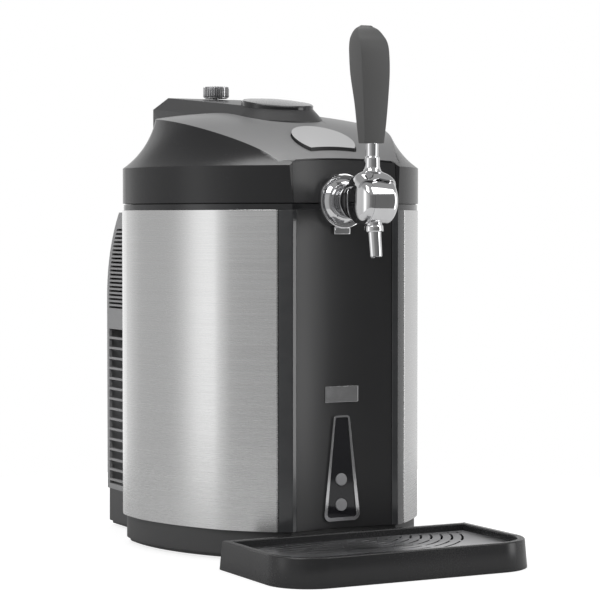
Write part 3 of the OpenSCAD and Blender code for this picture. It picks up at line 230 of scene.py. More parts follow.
paper_r, paper_z = 0.62, -0.0002
bpy.ops.mesh.primitive_circle_add(
    vertices=128, radius=paper_r, fill_type="NGON", location=(0, 0, paper_z)
)
floor = bpy.context.object
floor.name = "studio_floor"
paper = material("white_paper", (0.93, 0.93, 0.93), 0.9)
shade(paper, (0.66, 0.66, 0.66), (0.93, 0.93, 0.93), paper.node("LightPath", out=0))
reach = paper.node("VectorMath", {"operation": "LENGTH"}, out=1, Vector=paper.node("TexCoord", out=3))
# the paper glows white towards its edge, so that only the soft shadow near the object is left
fade_from, fade_to, glow_inside = 0.26, 0.56, 0.62
far = paper.node("MapRange", soft_step, i0=reach, i1=fade_from, i2=fade_to, i3=glow_inside, i4=1.0)
lit = far * paper.node("LightPath", out=0)
white = paper.node("Emission", Strength=1.3)
floor_mix = paper.node("MixShader", i0=lit, i1=Value(paper.tree, paper.shader.outputs[0]), i2=white)
paper.tree.links.new(floor_mix.socket, paper.tree.nodes["Material Output"].inputs["Surface"])
floor.data.materials.append(paper.material)


def soft_box(name, at, target, width, height, power):
    data = bpy.data.lights.new(name, "AREA")
    data.shape = "RECTANGLE"
    data.size = width
    data.size_y = height
    data.energy = power
    lamp = bpy.data.objects.new(name, data)
    scene.collection.objects.link(lamp)
    lamp.location = at
    lamp.rotation_euler = (Vector(target) - Vector(at)).to_track_quat("-Z", "Y").to_euler()
    return lamp


soft_box("key_box", (-1.6, -0.9, 2.0), (0, 0, 0.25), 1.2, 1.0, 22)
soft_box("front_box", (0.75, -1.1, 1.36), (0, -0.13, 0.31), 0.5, 0.8, 4)
soft_box("top_box", (0.3, 0.6, 2.2), (0, 0, 0.3), 1.2, 1.0, 16)


# ---------- Base ----------
# A black injection-moulded pan under the body, with a low extension below the rear housing.
# It stands on four rubber feet that are pressed into seats in its floor.
slot_of = {part["node"]: part["material_slot"] for part in frame["record"]["subparts"]}


def dressed(
    name, edge, finish, angle=30, segments=2, weld=2e-6, smooth=28, body=None, new_name=None
):
    """A piece from the construction's own solid: merged, its flat faces joined, its edges broken
    as the real tool breaks them, and smooth between them."""
    source = frame["nodes"][name]
    bpy.ops.object.select_all(action="DESELECT")
    copy = bpy.data.objects.new(new_name or name + "_piece", source.data.copy())
    scene.collection.objects.link(copy)
    bpy.context.view_layer.objects.active = copy
    copy.select_set(True)
    mesh = bmesh.new()
    mesh.from_mesh(copy.data)
    bmesh.ops.remove_doubles(mesh, verts=mesh.verts, dist=weld)
    bmesh.ops.dissolve_limit(
        mesh, angle_limit=math.radians(0.6), verts=mesh.verts, edges=mesh.edges, delimit={"NORMAL"}
    )
    mesh.to_mesh(copy.data)
    mesh.free()
    for layer in list(copy.data.attributes):
        if layer.name in ("custom_normal", "sharp_face", "sharp_edge"):
            copy.data.attributes.remove(layer)
    if edge:
        bevel = copy.modifiers.new("edge", "BEVEL")
        bevel.width = edge
        bevel.segments = segments
        bevel.limit_method = "ANGLE"
        bevel.angle_limit = math.radians(angle)
        bevel.harden_normals = False
        bpy.ops.object.modifier_apply(modifier="edge")
    bpy.ops.object.shade_smooth_by_angle(angle=math.radians(smooth))
    even = copy.modifiers.new("even", "WEIGHTED_NORMAL")
    even.keep_sharp = True
    bpy.ops.object.modifier_apply(modifier="even")
    copy.data.materials.clear()
    copy.data.materials.append(finish.material)
    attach(copy, body or source["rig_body"])
    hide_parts(name)
    return copy


def moulded(name, colour, lighter, roughness, size=900.0, depth=0.00006, **constants):
    """Moulded plastic: an eroded texture, slight clouding, and roughness that varies."""
    made = material(name, colour, roughness, **constants)
    clouds = grain(made, 9.0, 4.0)
    shade(made, colour, lighter, clouds)
    pores = grain(made, size, 2.0)
    feed(made, "Roughness", (clouds - 0.5) * 0.12 + (pores - 0.5) * 0.1 + roughness)
    relief(made, pores, depth)
    return made


base_plastic = moulded("base_plastic", (0.045, 0.045, 0.046), (0.062, 0.062, 0.063), 0.5)
dressed("base", 0.0009, base_plastic)

foot_rubber = moulded("foot_rubber", (0.016, 0.016, 0.016), (0.03, 0.03, 0.03), 0.8, size=400.0)
dressed("feet", 0.0006, foot_rubber)


# ---------- Inner cabinet ----------
# The black cabinet that carries the skins, with foam all round the aluminium keg chamber.
# The chamber is drawn from soft aluminium sheet, and its flange rests on the cabinet's top.


def coat(finish, *names):
    """The construction's own solid is shown, in this finish."""
    for name in names:
        mesh = frame["nodes"][name].data
        mesh.materials.clear()
        mesh.materials.append(finish.material)


dressed("cabinet_shell", 0.0, base_plastic)

foam = material("yellow_foam", (0.72, 0.62, 0.36), 0.9)
cells = grain(foam, 420.0, 4.0)
shade(foam, (0.62, 0.52, 0.28), (0.80, 0.71, 0.45), cells)
relief(foam, cells, 0.0004)
coat(foam, "foam_insulation")

aluminium = material("drawn_aluminium", (0.80, 0.81, 0.82), 0.34, Metallic=1.0)
draw_marks = grain(aluminium, 1.0, 2.0, stretch=(160, 160, 9))
stains = grain(aluminium, 14.0, 4.0)
shade(aluminium, (0.72, 0.73, 0.74), (0.86, 0.87, 0.88), stains)
feed(aluminium, "Roughness", draw_marks * 0.16 + stains * 0.08 + 0.22)
relief(aluminium, draw_marks, 0.00003)
dressed("chamber_liner", 0.0004, aluminium)


# ---------- Side panels ----------
# Two sheets of stainless steel, brushed along the floor line and folded in soft creases.
# Each wraps round its rear corner and is pinched under the front trim.
def brushed(name, dark, light, roughness):
    made = material(name, light, roughness, Metallic=1.0, Anisotropic=0.6, Anisotropic_Rotation=0.25)
    hairs = grain(made, 1.0, 3.0, stretch=(9, 9, 1500))
    lines = grain(made, 1.0, 2.0, stretch=(4, 4, 330))
    clouds = grain(made, 5.0, 3.0)
    shade(made, dark, light, hairs * 0.55 + lines * 0.3 + clouds * 0.15)
    feed(made, "Roughness", hairs * 0.16 + clouds * 0.06 + (roughness - 0.11))
    relief(made, hairs + lines * 0.5, 0.000035)
    return made


steel_skin = brushed("brushed_stainless", (0.60, 0.60, 0.60), (0.68, 0.68, 0.68), 0.27)
for side in ("left", "right"):
    dressed("steel_panel_" + side, 0.0005, steel_skin, segments=2)


# ---------- Front trims and front panel ----------
# Glossy dark strips cover the front edges of the steel at both corners.
# Between them lies a hollowed satin black panel that the tap and the controls are set in.
trim_gloss = material("trim_gloss", (0.035, 0.036, 0.038), 0.16, Coat_Weight=0.4, Coat_Roughness=0.08)
trim_haze = grain(trim_gloss, 60.0, 4.0)
shade(trim_gloss, (0.028, 0.029, 0.031), (0.05, 0.051, 0.053), trim_haze)
feed(trim_gloss, "Roughness", trim_haze * 0.1 + 0.12)
relief(trim_gloss, grain(trim_gloss, 1400.0), 0.00001)
for side in ("left", "right"):
    dressed("front_trim_" + side, 0.0007, trim_gloss, segments=3)

satin_black = moulded("satin_black", (0.016, 0.016, 0.017), (0.024, 0.024, 0.025), 0.36, depth=0.00003)
dressed("front_panel", 0.0006, satin_black)


# ---------- Collar ----------
# A glossy black rim closes the body above the steel, and the lid's seal lands on it.
collar_gloss = material("collar_gloss", (0.02, 0.02, 0.021), 0.14)
collar_haze = grain(collar_gloss, 45.0, 3.0)
shade(collar_gloss, (0.016, 0.016, 0.017), (0.03, 0.03, 0.032), collar_haze)
feed(collar_gloss, "Roughness", collar_haze * 0.08 + 0.1)
dressed("top_collar", 0.0012, collar_gloss, segments=3)


# ---------- Badge and control panel ----------
# A small bare metal plate and, below it, a tongue-shaped window in a bright rim.
# The window is smoked acrylic, and two round buttons stand in it.
bright_rim = material("bright_rim", (0.78, 0.78, 0.79), 0.12, Metallic=1.0)
rim_haze = grain(bright_rim, 200.0, 3.0)
shade(bright_rim, (0.70, 0.70, 0.71), (0.82, 0.82, 0.83), rim_haze)
feed(bright_rim, "Roughness", rim_haze * 0.1 + 0.07)
dressed("badge_plate", 0.0003, bright_rim)
dressed("control_bezel", 0.0004, bright_rim, segments=3)

smoked = material("smoked_window", (0.012, 0.012, 0.014), 0.06, Coat_Weight=0.3)
smoke_haze = grain(smoked, 30.0, 3.0)
shade(smoked, (0.009, 0.009, 0.011), (0.018, 0.018, 0.021), smoke_haze)
feed(smoked, "Roughness", smoke_haze * 0.05 + 0.04)
dressed("control_window", 0.0003, smoked)

key_grey = moulded("key_grey", (0.30, 0.30, 0.31), (0.36, 0.36, 0.37), 0.4, depth=0.00003)
for name in ("power_button", "temperature_button"):
    dressed(name, 0.0008, key_grey, segments=3)


# ---------- Boards and cooling ----------
# Green fibreglass boards on a bent steel bracket, and the thermoelectric cooler between the
# aluminium cold block and the finned heat sink, with a fan that draws air through the fins.
def circuit(name, low, high):
    made = material(name, low, 0.42)
    tracks = made.node("TexVoronoi", {"feature": "DISTANCE_TO_EDGE"}, Vector=place(made), Scale=260.0)
    shade(made, high, low, tracks > 0.09)
    feed(made, "Roughness", grain(made, 80.0) * 0.2 + 0.32)
    relief(made, tracks, 0.00008)
    return made


board_green = circuit("board_green", (0.012, 0.09, 0.045), (0.03, 0.2, 0.1))
coat(board_green, "control_board", "power_board")

plain_steel = brushed("plain_steel", (0.42, 0.42, 0.43), (0.62, 0.62, 0.63), 0.38)
for name in ("board_bracket", "tap_bracket", "strike_plate", "latch_slide", "lid_hinge_leaf"):
    dressed(name, 0.0003, plain_steel)
for name in ("hinge_brackets", "hinge_pin", "housing_screws", "tap_pivot_pin", "tap_valve"):
    dressed(name, 0.0004, plain_steel)

fin_aluminium = material("fin_aluminium", (0.74, 0.75, 0.76), 0.4, Metallic=1.0)
fin_marks = grain(fin_aluminium, 1.0, 3.0, stretch=(60, 700, 60))
shade(fin_aluminium, (0.66, 0.67, 0.68), (0.80, 0.81, 0.82), fin_marks)
feed(fin_aluminium, "Roughness", fin_marks * 0.2 + 0.28)
coat(fin_aluminium, "cold_block", "heat_sink")

ceramic = material("white_ceramic", (0.86, 0.85, 0.82), 0.6)
glaze = grain(ceramic, 500.0)
shade(ceramic, (0.80, 0.79, 0.76), (0.90, 0.89, 0.87), glaze)
coat(ceramic, "peltier_module")

fan_black = moulded("fan_black", (0.02, 0.02, 0.021), (0.03, 0.03, 0.031), 0.45)
coat(fan_black, "fan_frame")
dressed("fan_rotor", 0.0003, fan_black)


# ---------- Rear housing ----------
# One grey-black moulding with two fields of slots on each side, screwed to the cabinet.
# The grille in front of the fan and the mains inlet are set into its rear face.
rear_plastic = moulded("rear_plastic", (0.24, 0.24, 0.245), (0.31, 0.31, 0.315), 0.46, depth=0.00005)
dressed("rear_housing", 0.0006, rear_plastic)
dressed("rear_grille", 0.0004, rear_plastic)
dressed("mains_inlet", 0.0004, base_plastic)


# ---------- Lid ----------
# A dark moulding: a satin dome over hollowed flanks and an upright band; the top of the dome is painted
# paler, as a painted reflection of the bright room.
# It is hinged at the rear, and a soft grey seal under it closes the chamber.


def alone(piece):
    """Only this piece is selected and active."""
    bpy.ops.object.select_all(action="DESELECT")
    bpy.context.view_layer.objects.active = piece
    piece.select_set(True)


def pick(kind, test):
    """Selects the vertices, edges or polygons of the active piece that the test likes."""
    bpy.ops.object.mode_set(mode="OBJECT")
    bpy.context.tool_settings.mesh_select_mode = [kind == k for k in ("vertices", "edges", "polygons")]
    mesh = bpy.context.object.data
    for group in (mesh.vertices, mesh.edges, mesh.polygons):
        group.foreach_set("select", [False] * len(group))
    for item in getattr(mesh, kind):
        item.select = bool(test(item))
    bpy.ops.object.mode_set(mode="EDIT")


def fitted(piece, finish, slot, body, *nodes, smooth=35):
    """Normals out, smooth between its edges, with its material and its body; the slot argument is not
    used.
    """
    if bpy.context.object.mode == "EDIT":
        bpy.ops.object.mode_set(mode="OBJECT")
    alone(piece)
    bpy.ops.object.mode_set(mode="EDIT")
    bpy.ops.mesh.select_all(action="SELECT")
    bpy.ops.mesh.remove_doubles(threshold=1e-6)
    bpy.ops.mesh.normals_make_consistent(inside=False)
    bpy.ops.object.mode_set(mode="OBJECT")
    bpy.ops.object.shade_smooth_by_angle(angle=math.radians(smooth))
    piece.data.materials.clear()
    piece.data.materials.append(finish.material)
    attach(piece, body)
    if nodes:
        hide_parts(*nodes)
    return piece


dome_top, dome_y, dome_r, dome_cross_r, lip_z = 0.3948, 0.096, 0.330, 0.600, 0.3479
lid_finish = material("lid_painted_sheen", (0.03, 0.03, 0.031), 0.3, Specular_IOR_Level=0.35)
spot = lid_finish.node("TexCoord", out=3)
spot_x, spot_y, spot_z = (lid_finish.node("SeparateXYZ", out=k, i0=spot) for k in range(3))
from_ridge = spot_y - dome_y
arc = (dome_r ** 2 - from_ridge * from_ridge).maths("SQRT") + (dome_top - dome_r)
dome_level = arc.maths("MAXIMUM", lip_z) - spot_x * spot_x * (0.5 / dome_cross_r)
# the mask of the dome's top, where a paler grey is painted: a painted reflection on the dark plastic
top_sheen = spot_z > dome_level - 0.0003
clouds = grain(lid_finish, 9.0, 4.0)
pores = grain(lid_finish, 900.0, 2.0)
# painted reflection: the dome's top goes from the dark plastic to a pale grey
shade(lid_finish, (0.022, 0.022, 0.023), (0.19, 0.19, 0.192), top_sheen * (clouds * 0.1 + 0.95))
feed(lid_finish, "Roughness", top_sheen * 0.1 + clouds * 0.08 + pores * 0.06 + 0.18)
relief(lid_finish, pores, 0.00003)
dressed("lid_shell", 0.0007, lid_finish, segments=2)

# a thin lip under the band, which closes the seam over the collar
lip = dressed("lid_shell", 0, lid_finish, new_name="lid_lip_piece")
alone(lip)
band_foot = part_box("lid_shell")[0][2]
middle_y = sum(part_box("lid_shell")[k][1] for k in range(2)) / 2
bpy.ops.object.mode_set(mode="EDIT")
bpy.ops.mesh.select_all(action="SELECT")
lip_h, lip_share, lip_drop = 0.001, 0.985, 0.0006
bpy.ops.mesh.bisect(
    plane_co=(0, 0, band_foot + lip_h), plane_no=(0, 0, 1), use_fill=True, clear_outer=True
)
bpy.ops.mesh.select_all(action="SELECT")
bpy.ops.transform.resize(value=(lip_share, lip_share, 1), center_override=(0, middle_y, 0))
bpy.ops.transform.translate(value=(0, 0, -lip_drop))
bpy.ops.object.mode_set(mode="OBJECT")

# the corners of the dome beside the nose of the hump
cap_y, nose_r, least_x = 0.045, 0.030, 0.014


def under_hump(face):
    x, y = face.center.x, face.center.y
    return math.hypot(x, y - cap_y) < nose_r or abs(x) < least_x


bpy.ops.object.select_all(action="DESELECT")
bpy.ops.mesh.primitive_grid_add(x_subdivisions=48, y_subdivisions=24, size=1, location=(0, 0.017, 0))
corners = bpy.context.object
corners.name = "dome_corners_piece"
corners.scale = (0.092, 0.034, 1)
bpy.ops.object.transform_apply()
alone(corners)
pick("polygons", under_hump)
bpy.ops.mesh.delete(type="FACE")
bpy.ops.object.mode_set(mode="OBJECT")
for point in corners.data.vertices:
    rise = math.sqrt(dome_r ** 2 - (point.co.y - dome_y) ** 2) + dome_top - dome_r
    point.co.z = max(rise, lip_z) - point.co.x ** 2 * 0.5 / dome_cross_r - 0.00015
backing = corners.modifiers.new("backing", "SOLIDIFY")
backing.thickness = 0.001
backing.offset = -1
bpy.ops.object.modifier_apply(modifier="backing")
fitted(corners, lid_finish, slot_of["lid_shell"], "lid")

fascia_gloss = material("fascia_gloss", (0.03, 0.03, 0.031), 0.34)
fascia_haze = grain(fascia_gloss, 70.0, 3.0)
shade(fascia_gloss, (0.024, 0.024, 0.025), (0.04, 0.04, 0.041), fascia_haze)
feed(fascia_gloss, "Roughness", fascia_haze * 0.08 + 0.3)
dressed("lid_fascia", 0.0005, fascia_gloss, segments=3)

lid_lining = moulded("lid_lining", (0.62, 0.62, 0.61), (0.70, 0.70, 0.69), 0.4)
dressed("lid_inner_panel", 0.0006, lid_lining)

seal_rubber = moulded("seal_rubber", (0.18, 0.18, 0.18), (0.24, 0.24, 0.24), 0.75, size=300.0)
dressed("lid_seal", 0.0008, seal_rubber, segments=3)


# ---------- Hump and gas fittings ----------
# The long cover behind the cap hides a gas cartridge in its sleeve and the regulator.
# The cartridge goes in under the round cap, and the ribbed knob sets the pressure.


def push(move):
    """Extrudes what is selected."""
    bpy.ops.mesh.extrude_region_move(TRANSFORM_OT_translate={"value": move, "orient_type": "GLOBAL"})


def turned(name, rings, at, turn=(0, 0, 0), steps=96):
    """A form made on the lathe: rings of (radius, height) along Z, then turned and put in place."""
    bpy.ops.object.select_all(action="DESELECT")
    radius, height = rings[0]
    bpy.ops.mesh.primitive_circle_add(
        vertices=steps, radius=radius, fill_type="NGON", location=(0, 0, height)
    )
    made = bpy.context.object
    made.name = name
    bpy.ops.object.mode_set(mode="EDIT")
    for next_radius, next_height in rings[1:]:
        push((0, 0, next_height - height))
        ratio = next_radius / radius
        bpy.ops.transform.resize(value=(ratio, ratio, 1), center_override=(0, 0, next_height))
        radius, height = next_radius, next_height
    bpy.ops.object.mode_set(mode="OBJECT")
    bpy.ops.object.transform_apply()
    made.location = at
    made.rotation_euler = turn
    bpy.ops.object.transform_apply()
    return made


hump_plastic = moulded("hump_plastic", (0.032, 0.032, 0.033), (0.046, 0.046, 0.047), 0.36, depth=0.00003)
dressed("hump_cover", 0.0012, hump_plastic, segments=3, angle=24, smooth=40)
dressed("cap_well", 0.0005, satin_black)
dressed("cartridge_sleeve", 0.0004, satin_black)
cartridge_steel = brushed("cartridge_steel", (0.5, 0.5, 0.52), (0.7, 0.7, 0.72), 0.3)
dressed("gas_cartridge", 0.0004, cartridge_steel)
brass = material("turned_brass", (0.78, 0.60, 0.30), 0.3, Metallic=1.0)
turning = grain(brass, 1.0, 2.0, stretch=(300, 300, 900))
shade(brass, (0.66, 0.49, 0.23), (0.84, 0.67, 0.37), turning)
feed(brass, "Roughness", turning * 0.2 + 0.2)
dressed("regulator_body", 0.0004, brass)
dressed("tap_nut", 0.0006, brass)

cap_pale = moulded("cap_pale", (0.22, 0.22, 0.223), (0.30, 0.30, 0.303), 0.26, depth=0.00003)
dressed("gas_cap", 0.0004, cap_pale)
dressed("gas_cap_ring", 0.0003, collar_gloss, segments=3)
knob_metal = brushed("knob_metal", (0.40, 0.40, 0.41), (0.62, 0.62, 0.63), 0.3)
knob_low, knob_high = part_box("regulator_knob")
knob_r, knob_y = knob_high[0], (knob_low[1] + knob_high[1]) / 2
knob_top, knob_foot = knob_high[2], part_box("hump_cover")[1][2] + 0.0003
knob = turned(
    "regulator_knob_piece",
    [(0.0028, knob_low[2] + 0.0003), (0.003, knob_low[2] + 0.0006), (0.003, knob_foot),
     (0.0108, knob_foot),
     (0.0112, knob_foot + 0.0003), (0.0112, knob_foot + 0.0008), (knob_r - 0.0003, knob_foot + 0.0012),
     (knob_r, knob_foot + 0.0016), (knob_r, knob_top - 0.0007), (knob_r - 0.0002, knob_top - 0.0003),
     (knob_r - 0.0009, knob_top), (knob_r - 0.0022, knob_top), (knob_r - 0.0026, knob_top - 0.0004),
     (0.001, knob_top - 0.0004)],
    (0, knob_y, 0),
    steps=108,
)
alone(knob)


def in_flute(point):
    """36 flutes, one for each 10 degrees of the side wall."""
    turn = math.degrees(math.atan2(point.co.y - knob_y, point.co.x)) % 10
    on_wall = math.hypot(point.co.x, point.co.y - knob_y) > knob_r - 0.00035
    between_ends = knob_foot + 0.001 < point.co.z < knob_top - 0.0002
    return on_wall and between_ends and (turn < 1 or turn > 9)


pick("vertices", in_flute)
flute_share = 0.93
bpy.ops.transform.resize(value=(flute_share, flute_share, 1), center_override=(0, knob_y, 0))
fitted(knob, knob_metal, slot_of["regulator_knob"], "regulator_knob", "regulator_knob", smooth=25)


# ---------- Lid release ----------
# A pale paddle over a coil spring. Pressed down, it pushes the two latch blades back.
button_pale = moulded("button_pale", (0.42, 0.42, 0.423), (0.48, 0.48, 0.483), 0.34, depth=0.00003)
spring = dressed("button_spring", 0, plain_steel)
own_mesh(spring)
button = dressed("release_button", 0.0007, button_pale, segments=3)
# the paddle's upright sides take the satin black: painted shade for the shadowed walls round the raised
# paddle
button.data.materials.append(satin_black.material)
for face in button.data.polygons:
    if face.normal.z < 0.35:
        face.material_index = 1


# ---------- Tap ----------
# Chromed brass: a flange and ringed neck, a round cross drum with a spout below it, and a
# lever whose hood rides on the drum. A rubber gasket lies behind the flange.


def block(name, low, high):
    """A box between two corners, as the start of a piece."""
    bpy.ops.object.select_all(action="DESELECT")
    middle = [(a + b) / 2 for a, b in zip(low, high)]
    bpy.ops.mesh.primitive_cube_add(size=1, location=middle, scale=[b - a for a, b in zip(low, high)])
    made = bpy.context.object
    made.name = name
    bpy.ops.object.transform_apply()
    return made


def joined(first, *others):
    """The others become part of the first."""
    alone(first)
    for other in others:
        other.select_set(True)
    bpy.ops.object.join()
    return first


chrome = material("chrome", (0.82, 0.82, 0.83), 0.05, Metallic=1.0)
chrome_haze = grain(chrome, 90.0, 4.0)
shade(chrome, (0.76, 0.76, 0.77), (0.86, 0.86, 0.87), chrome_haze)
feed(chrome, "Roughness", chrome_haze * 0.05 + 0.03)
# the same chrome painted darker for the neck: painted shade, for the dark reflections the neck shows
neck_chrome_painted_shade = material("neck_chrome_painted_shade", (0.4, 0.4, 0.41), 0.2, Metallic=1.0)
neck_mist = grain(neck_chrome_painted_shade, 90.0, 4.0)
shade(neck_chrome_painted_shade, (0.34, 0.34, 0.35), (0.44, 0.44, 0.45), neck_mist)
feed(neck_chrome_painted_shade, "Roughness", neck_mist * 0.06 + 0.16)
neck_black = material("neck_black", (0.012, 0.012, 0.013), 0.12)
neck_haze = grain(neck_black, 120.0, 3.0)
shade(neck_black, (0.009, 0.009, 0.01), (0.02, 0.02, 0.021), neck_haze)
feed(neck_black, "Roughness", neck_haze * 0.1 + 0.06)

drum_low, drum_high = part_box("tap_drum")
drum_half = drum_high[0]
drum_r = (drum_high[2] - drum_low[2]) / 2
tap_y, tap_z = drum_low[1] + drum_r, drum_low[2] + drum_r
along_x, along_y = (0, math.pi / 2, 0), (-math.pi / 2, 0, 0)
barrel_half = 0.0100


def drum_end(side, grown=0.0, first=0, last=87, parts=12):
    """Rings round one domed end of the drum, from angle first to angle last, grown outward."""
    made = []
    for k in range(parts + 1):
        angle = math.radians(first + (last - first) * k / parts)
        reach = barrel_half + (drum_half - barrel_half + grown * 0.6) * math.sin(angle) ** 0.85
        made.append(((drum_r + grown) * math.cos(angle) ** 0.85, side * reach))
    return made


seam = [(drum_r - 0.0004, -0.0088), (drum_r - 0.0004, -0.0085), (drum_r, -0.0084)]
drum = turned(
    "tap_drum_piece",
    drum_end(-1)[::-1] + [(drum_r, -0.0089)] + seam + drum_end(1),
    (0, tap_y, tap_z),
    along_x,
)
# slot for the tongue of the lever, in the top of the drum
slot_cut = block("slot_cut", (-0.0045, tap_y - 0.0132, tap_z), (0.0045, tap_y + 0.0018, tap_z + 0.03))
alone(drum)
cutter = drum.modifiers.new("slot", "BOOLEAN")
cutter.object = slot_cut
cutter.operation = "DIFFERENCE"
cutter.solver = "EXACT"
bpy.ops.object.modifier_apply(modifier="slot")
bpy.data.objects.remove(slot_cut)
fitted(drum, chrome, slot_of["tap_drum"], "cabinet", "tap_drum")

flange_low, flange_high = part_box("tap_flange")
flange_r = flange_high[0]
back, front = flange_high[1], flange_low[1]
flange = turned(
    "tap_flange_piece",
    [(flange_r - 0.0008, back), (flange_r, back - 0.0008), (flange_r, front + 0.0016),
     (flange_r - 0.0005, front + 0.0005), (flange_r - 0.0016, front),
     (flange_r - 0.0030, front + 0.0002), (flange_r - 0.0036, front + 0.0010),
     (flange_r - 0.0042, front + 0.0010), (flange_r - 0.0050, front + 0.0002),
     (flange_r - 0.0066, front - 0.0014), (flange_r - 0.0080, front - 0.0024), (0.012, front - 0.0026)],
    (0, 0, tap_z),
    along_y,
)
tab = block("tab", (-0.008, back - 0.0026, flange_low[2]), (0.008, back, flange_low[2] + 0.008))
alone(tab)
pick("edges", lambda edge: True)
bpy.ops.mesh.bevel(offset=0.0007, segments=3)
bpy.ops.object.mode_set(mode="OBJECT")
fitted(joined(flange, tab), chrome, slot_of["tap_flange"], "cabinet", "tap_flange")

neck_r = 0.0136
shank_r = 0.0080
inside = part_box("tap_shank")[1][1]
neck = turned(
    "tap_neck_piece",
    [(shank_r - 0.0006, inside), (shank_r, inside - 0.0006), (shank_r, front + 0.0010),
     (neck_r + 0.0016, front + 0.0010), (neck_r + 0.0016, front - 0.0054),
     (neck_r + 0.0010, front - 0.0060),
     (neck_r, front - 0.0062), (neck_r, front - 0.0108), (neck_r + 0.0006, front - 0.0110),
     (neck_r + 0.0012, front - 0.0116), (neck_r + 0.0012, front - 0.0164),
     (neck_r + 0.0006, front - 0.0170),
     (neck_r, front - 0.0172), (neck_r, front - 0.0222), (neck_r + 0.0030, front - 0.0226),
     (neck_r + 0.0036, front - 0.0232), (neck_r + 0.0036, front - 0.0262),
     (neck_r + 0.0030, front - 0.0268),
     (neck_r, front - 0.0270), (neck_r, tap_y + 0.010)],
    (0, 0, tap_z),
    along_y,
)
fitted(neck, neck_chrome_painted_shade, slot_of["tap_shank"], "cabinet", "tap_shank")
neck.data.materials.append(neck_black.material)
for face in neck.data.polygons:
    if face.center.y < front - 0.0172 or face.center.y > front:
        face.material_index = 1

spout_lean = math.radians(7.8)
spout_r = 0.0058
spout_len = (tap_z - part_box("tap_spout")[0][2]) / math.cos(spout_lean) - 0.0006
spout = turned(
    "tap_spout_piece",
    [(0.0070, -0.0170), (0.0070, -0.0212), (0.0076, -0.0216), (0.0080, -0.0222), (0.0080, -0.0262),
     (0.0075, -0.0270), (spout_r + 0.0002, -0.0274), (spout_r, -0.0286),
     (spout_r - 0.0003, 0.0010 - spout_len), (spout_r - 0.0005, 0.0003 - spout_len),
     (spout_r - 0.0010, -spout_len), (spout_r - 0.0016, 0.0003 - spout_len),
     (spout_r - 0.0018, 0.0090 - spout_len)],
    (0, tap_y, tap_z),
    (-spout_lean, 0, 0),
    steps=64,
)
fitted(spout, chrome, slot_of["tap_spout"], "cabinet", "tap_spout")

# The hood is a sheet over the drum, drawn up in the middle into the root of the stem.
hood_grown = 0.0022
hood_open = math.radians(39)
rows = 12
between = [(drum_r + hood_grown, barrel_half * (2 * k / rows - 1)) for k in range(1, rows)]
hood = turned(
    "tap_lever_piece",
    drum_end(-1, hood_grown, last=58)[::-1] + between + drum_end(1, hood_grown, last=58),
    (0, tap_y, tap_z),
    along_x,
    steps=160,
)
alone(hood)
pick("polygons", lambda face: len(face.vertices) > 4)
bpy.ops.mesh.delete(type="ONLY_FACE")
for side in (-1, 1):
    bpy.ops.mesh.select_all(action="SELECT")
    bpy.ops.mesh.bisect(
        plane_co=(0, tap_y, tap_z),
        plane_no=(0, side * math.cos(hood_open), -math.sin(hood_open)),
        clear_outer=True,
    )
bpy.ops.object.mode_set(mode="OBJECT")
root_reach, root_rise, wave = 0.0165, 0.0085, 0.07
for point in hood.data.vertices:
    x, y, z = point.co.x, point.co.y - tap_y, point.co.z - tap_z
    radius, angle = math.hypot(y, z), math.atan2(y, z)
    angle *= 1 - wave * math.cos(2 * math.pi * x / drum_half * 1.1)
    away = math.hypot(x, radius * angle)
    lift = root_rise * max(1 - away / root_reach, 0) ** 2.2
    point.co.y = tap_y + radius * math.sin(angle)
    point.co.z = tap_z + radius * math.cos(angle) + lift
sheet = hood.modifiers.new("sheet", "SOLIDIFY")
sheet.thickness = 0.0016
sheet.offset = -1
bpy.ops.object.modifier_apply(modifier="sheet")
stem_root = [(0.0088, 0.0236), (0.0078, 0.0250), (0.0071, 0.0268), (0.0066, 0.0290), (0.0065, 0.0310)]
stem = turned(
    "stem",
    stem_root + [
        (0.0065, 0.0360), (0.0062, 0.0366), (0.0056, 0.0369), (0.0053, 0.0378), (0.0053, 0.0479),
        (0.0034, 0.0480), (0.0034, 0.0580),
    ],
    (0, tap_y, tap_z),
    steps=64,
)
tongue_half, tongue_thin = 0.0034, 0.0012
tongue = block(
    "tongue",
    (-tongue_half, tap_y - tongue_thin, tap_z - 0.004),
    (tongue_half, tap_y + tongue_thin, tap_z + drum_r + 0.002),
)
fitted(joined(hood, stem, tongue), chrome, slot_of["tap_lever"], "tap_lever", "tap_lever", smooth=40)
dressed("tap_gasket", 0.0004, foot_rubber)


# ---------- Tap handle ----------
# A tall paddle in soft black rubber, flat in front and full behind, with its top bent back.
# A fine groove runs up each front edge of the real handle, where the front plate meets the grip; here
# these edges are only rounded.


def ends(edge):
    """The two ends of an edge of the active piece."""
    points = bpy.context.object.data.vertices
    return [points[k].co for k in edge.vertices]


grip = moulded("soft_grip", (0.075, 0.075, 0.075), (0.105, 0.105, 0.104), 0.55, size=700.0)
handle_rows = [
    (0.00975, -0.1344, -0.1217, 0.3590),
    (0.01090, -0.1361, -0.1201, 0.3760),
    (0.01220, -0.1369, -0.1185, 0.3940),
    (0.01350, -0.1374, -0.1140, 0.4170),
    (0.01385, -0.1360, -0.1124, 0.4350),
    (0.01360, -0.1334, -0.1122, 0.4438),
    (0.01260, -0.1290, -0.1128, 0.4496),
    (0.00960, -0.1240, -0.1146, 0.4555),
    (0.00420, -0.1190, -0.1160, 0.4589),
]


def between_rows(rows, parts):
    """Rows on a smooth curve through the given ones."""
    made = []
    for k in range(len(rows) - 1):
        p0, p1 = rows[max(k - 1, 0)], rows[k]
        p2, p3 = rows[k + 1], rows[min(k + 2, len(rows) - 1)]
        for part in range(parts):
            t = part / parts
            row = []
            for a, b, c, d in zip(p0, p1, p2, p3):
                squared, cubed = 2 * a - 5 * b + 4 * c - d, 3 * b - a - 3 * c + d
                row.append((2 * b + (c - a) * t + squared * t * t + cubed * t ** 3) / 2)
            made.append(row)
    return made + [rows[-1]]


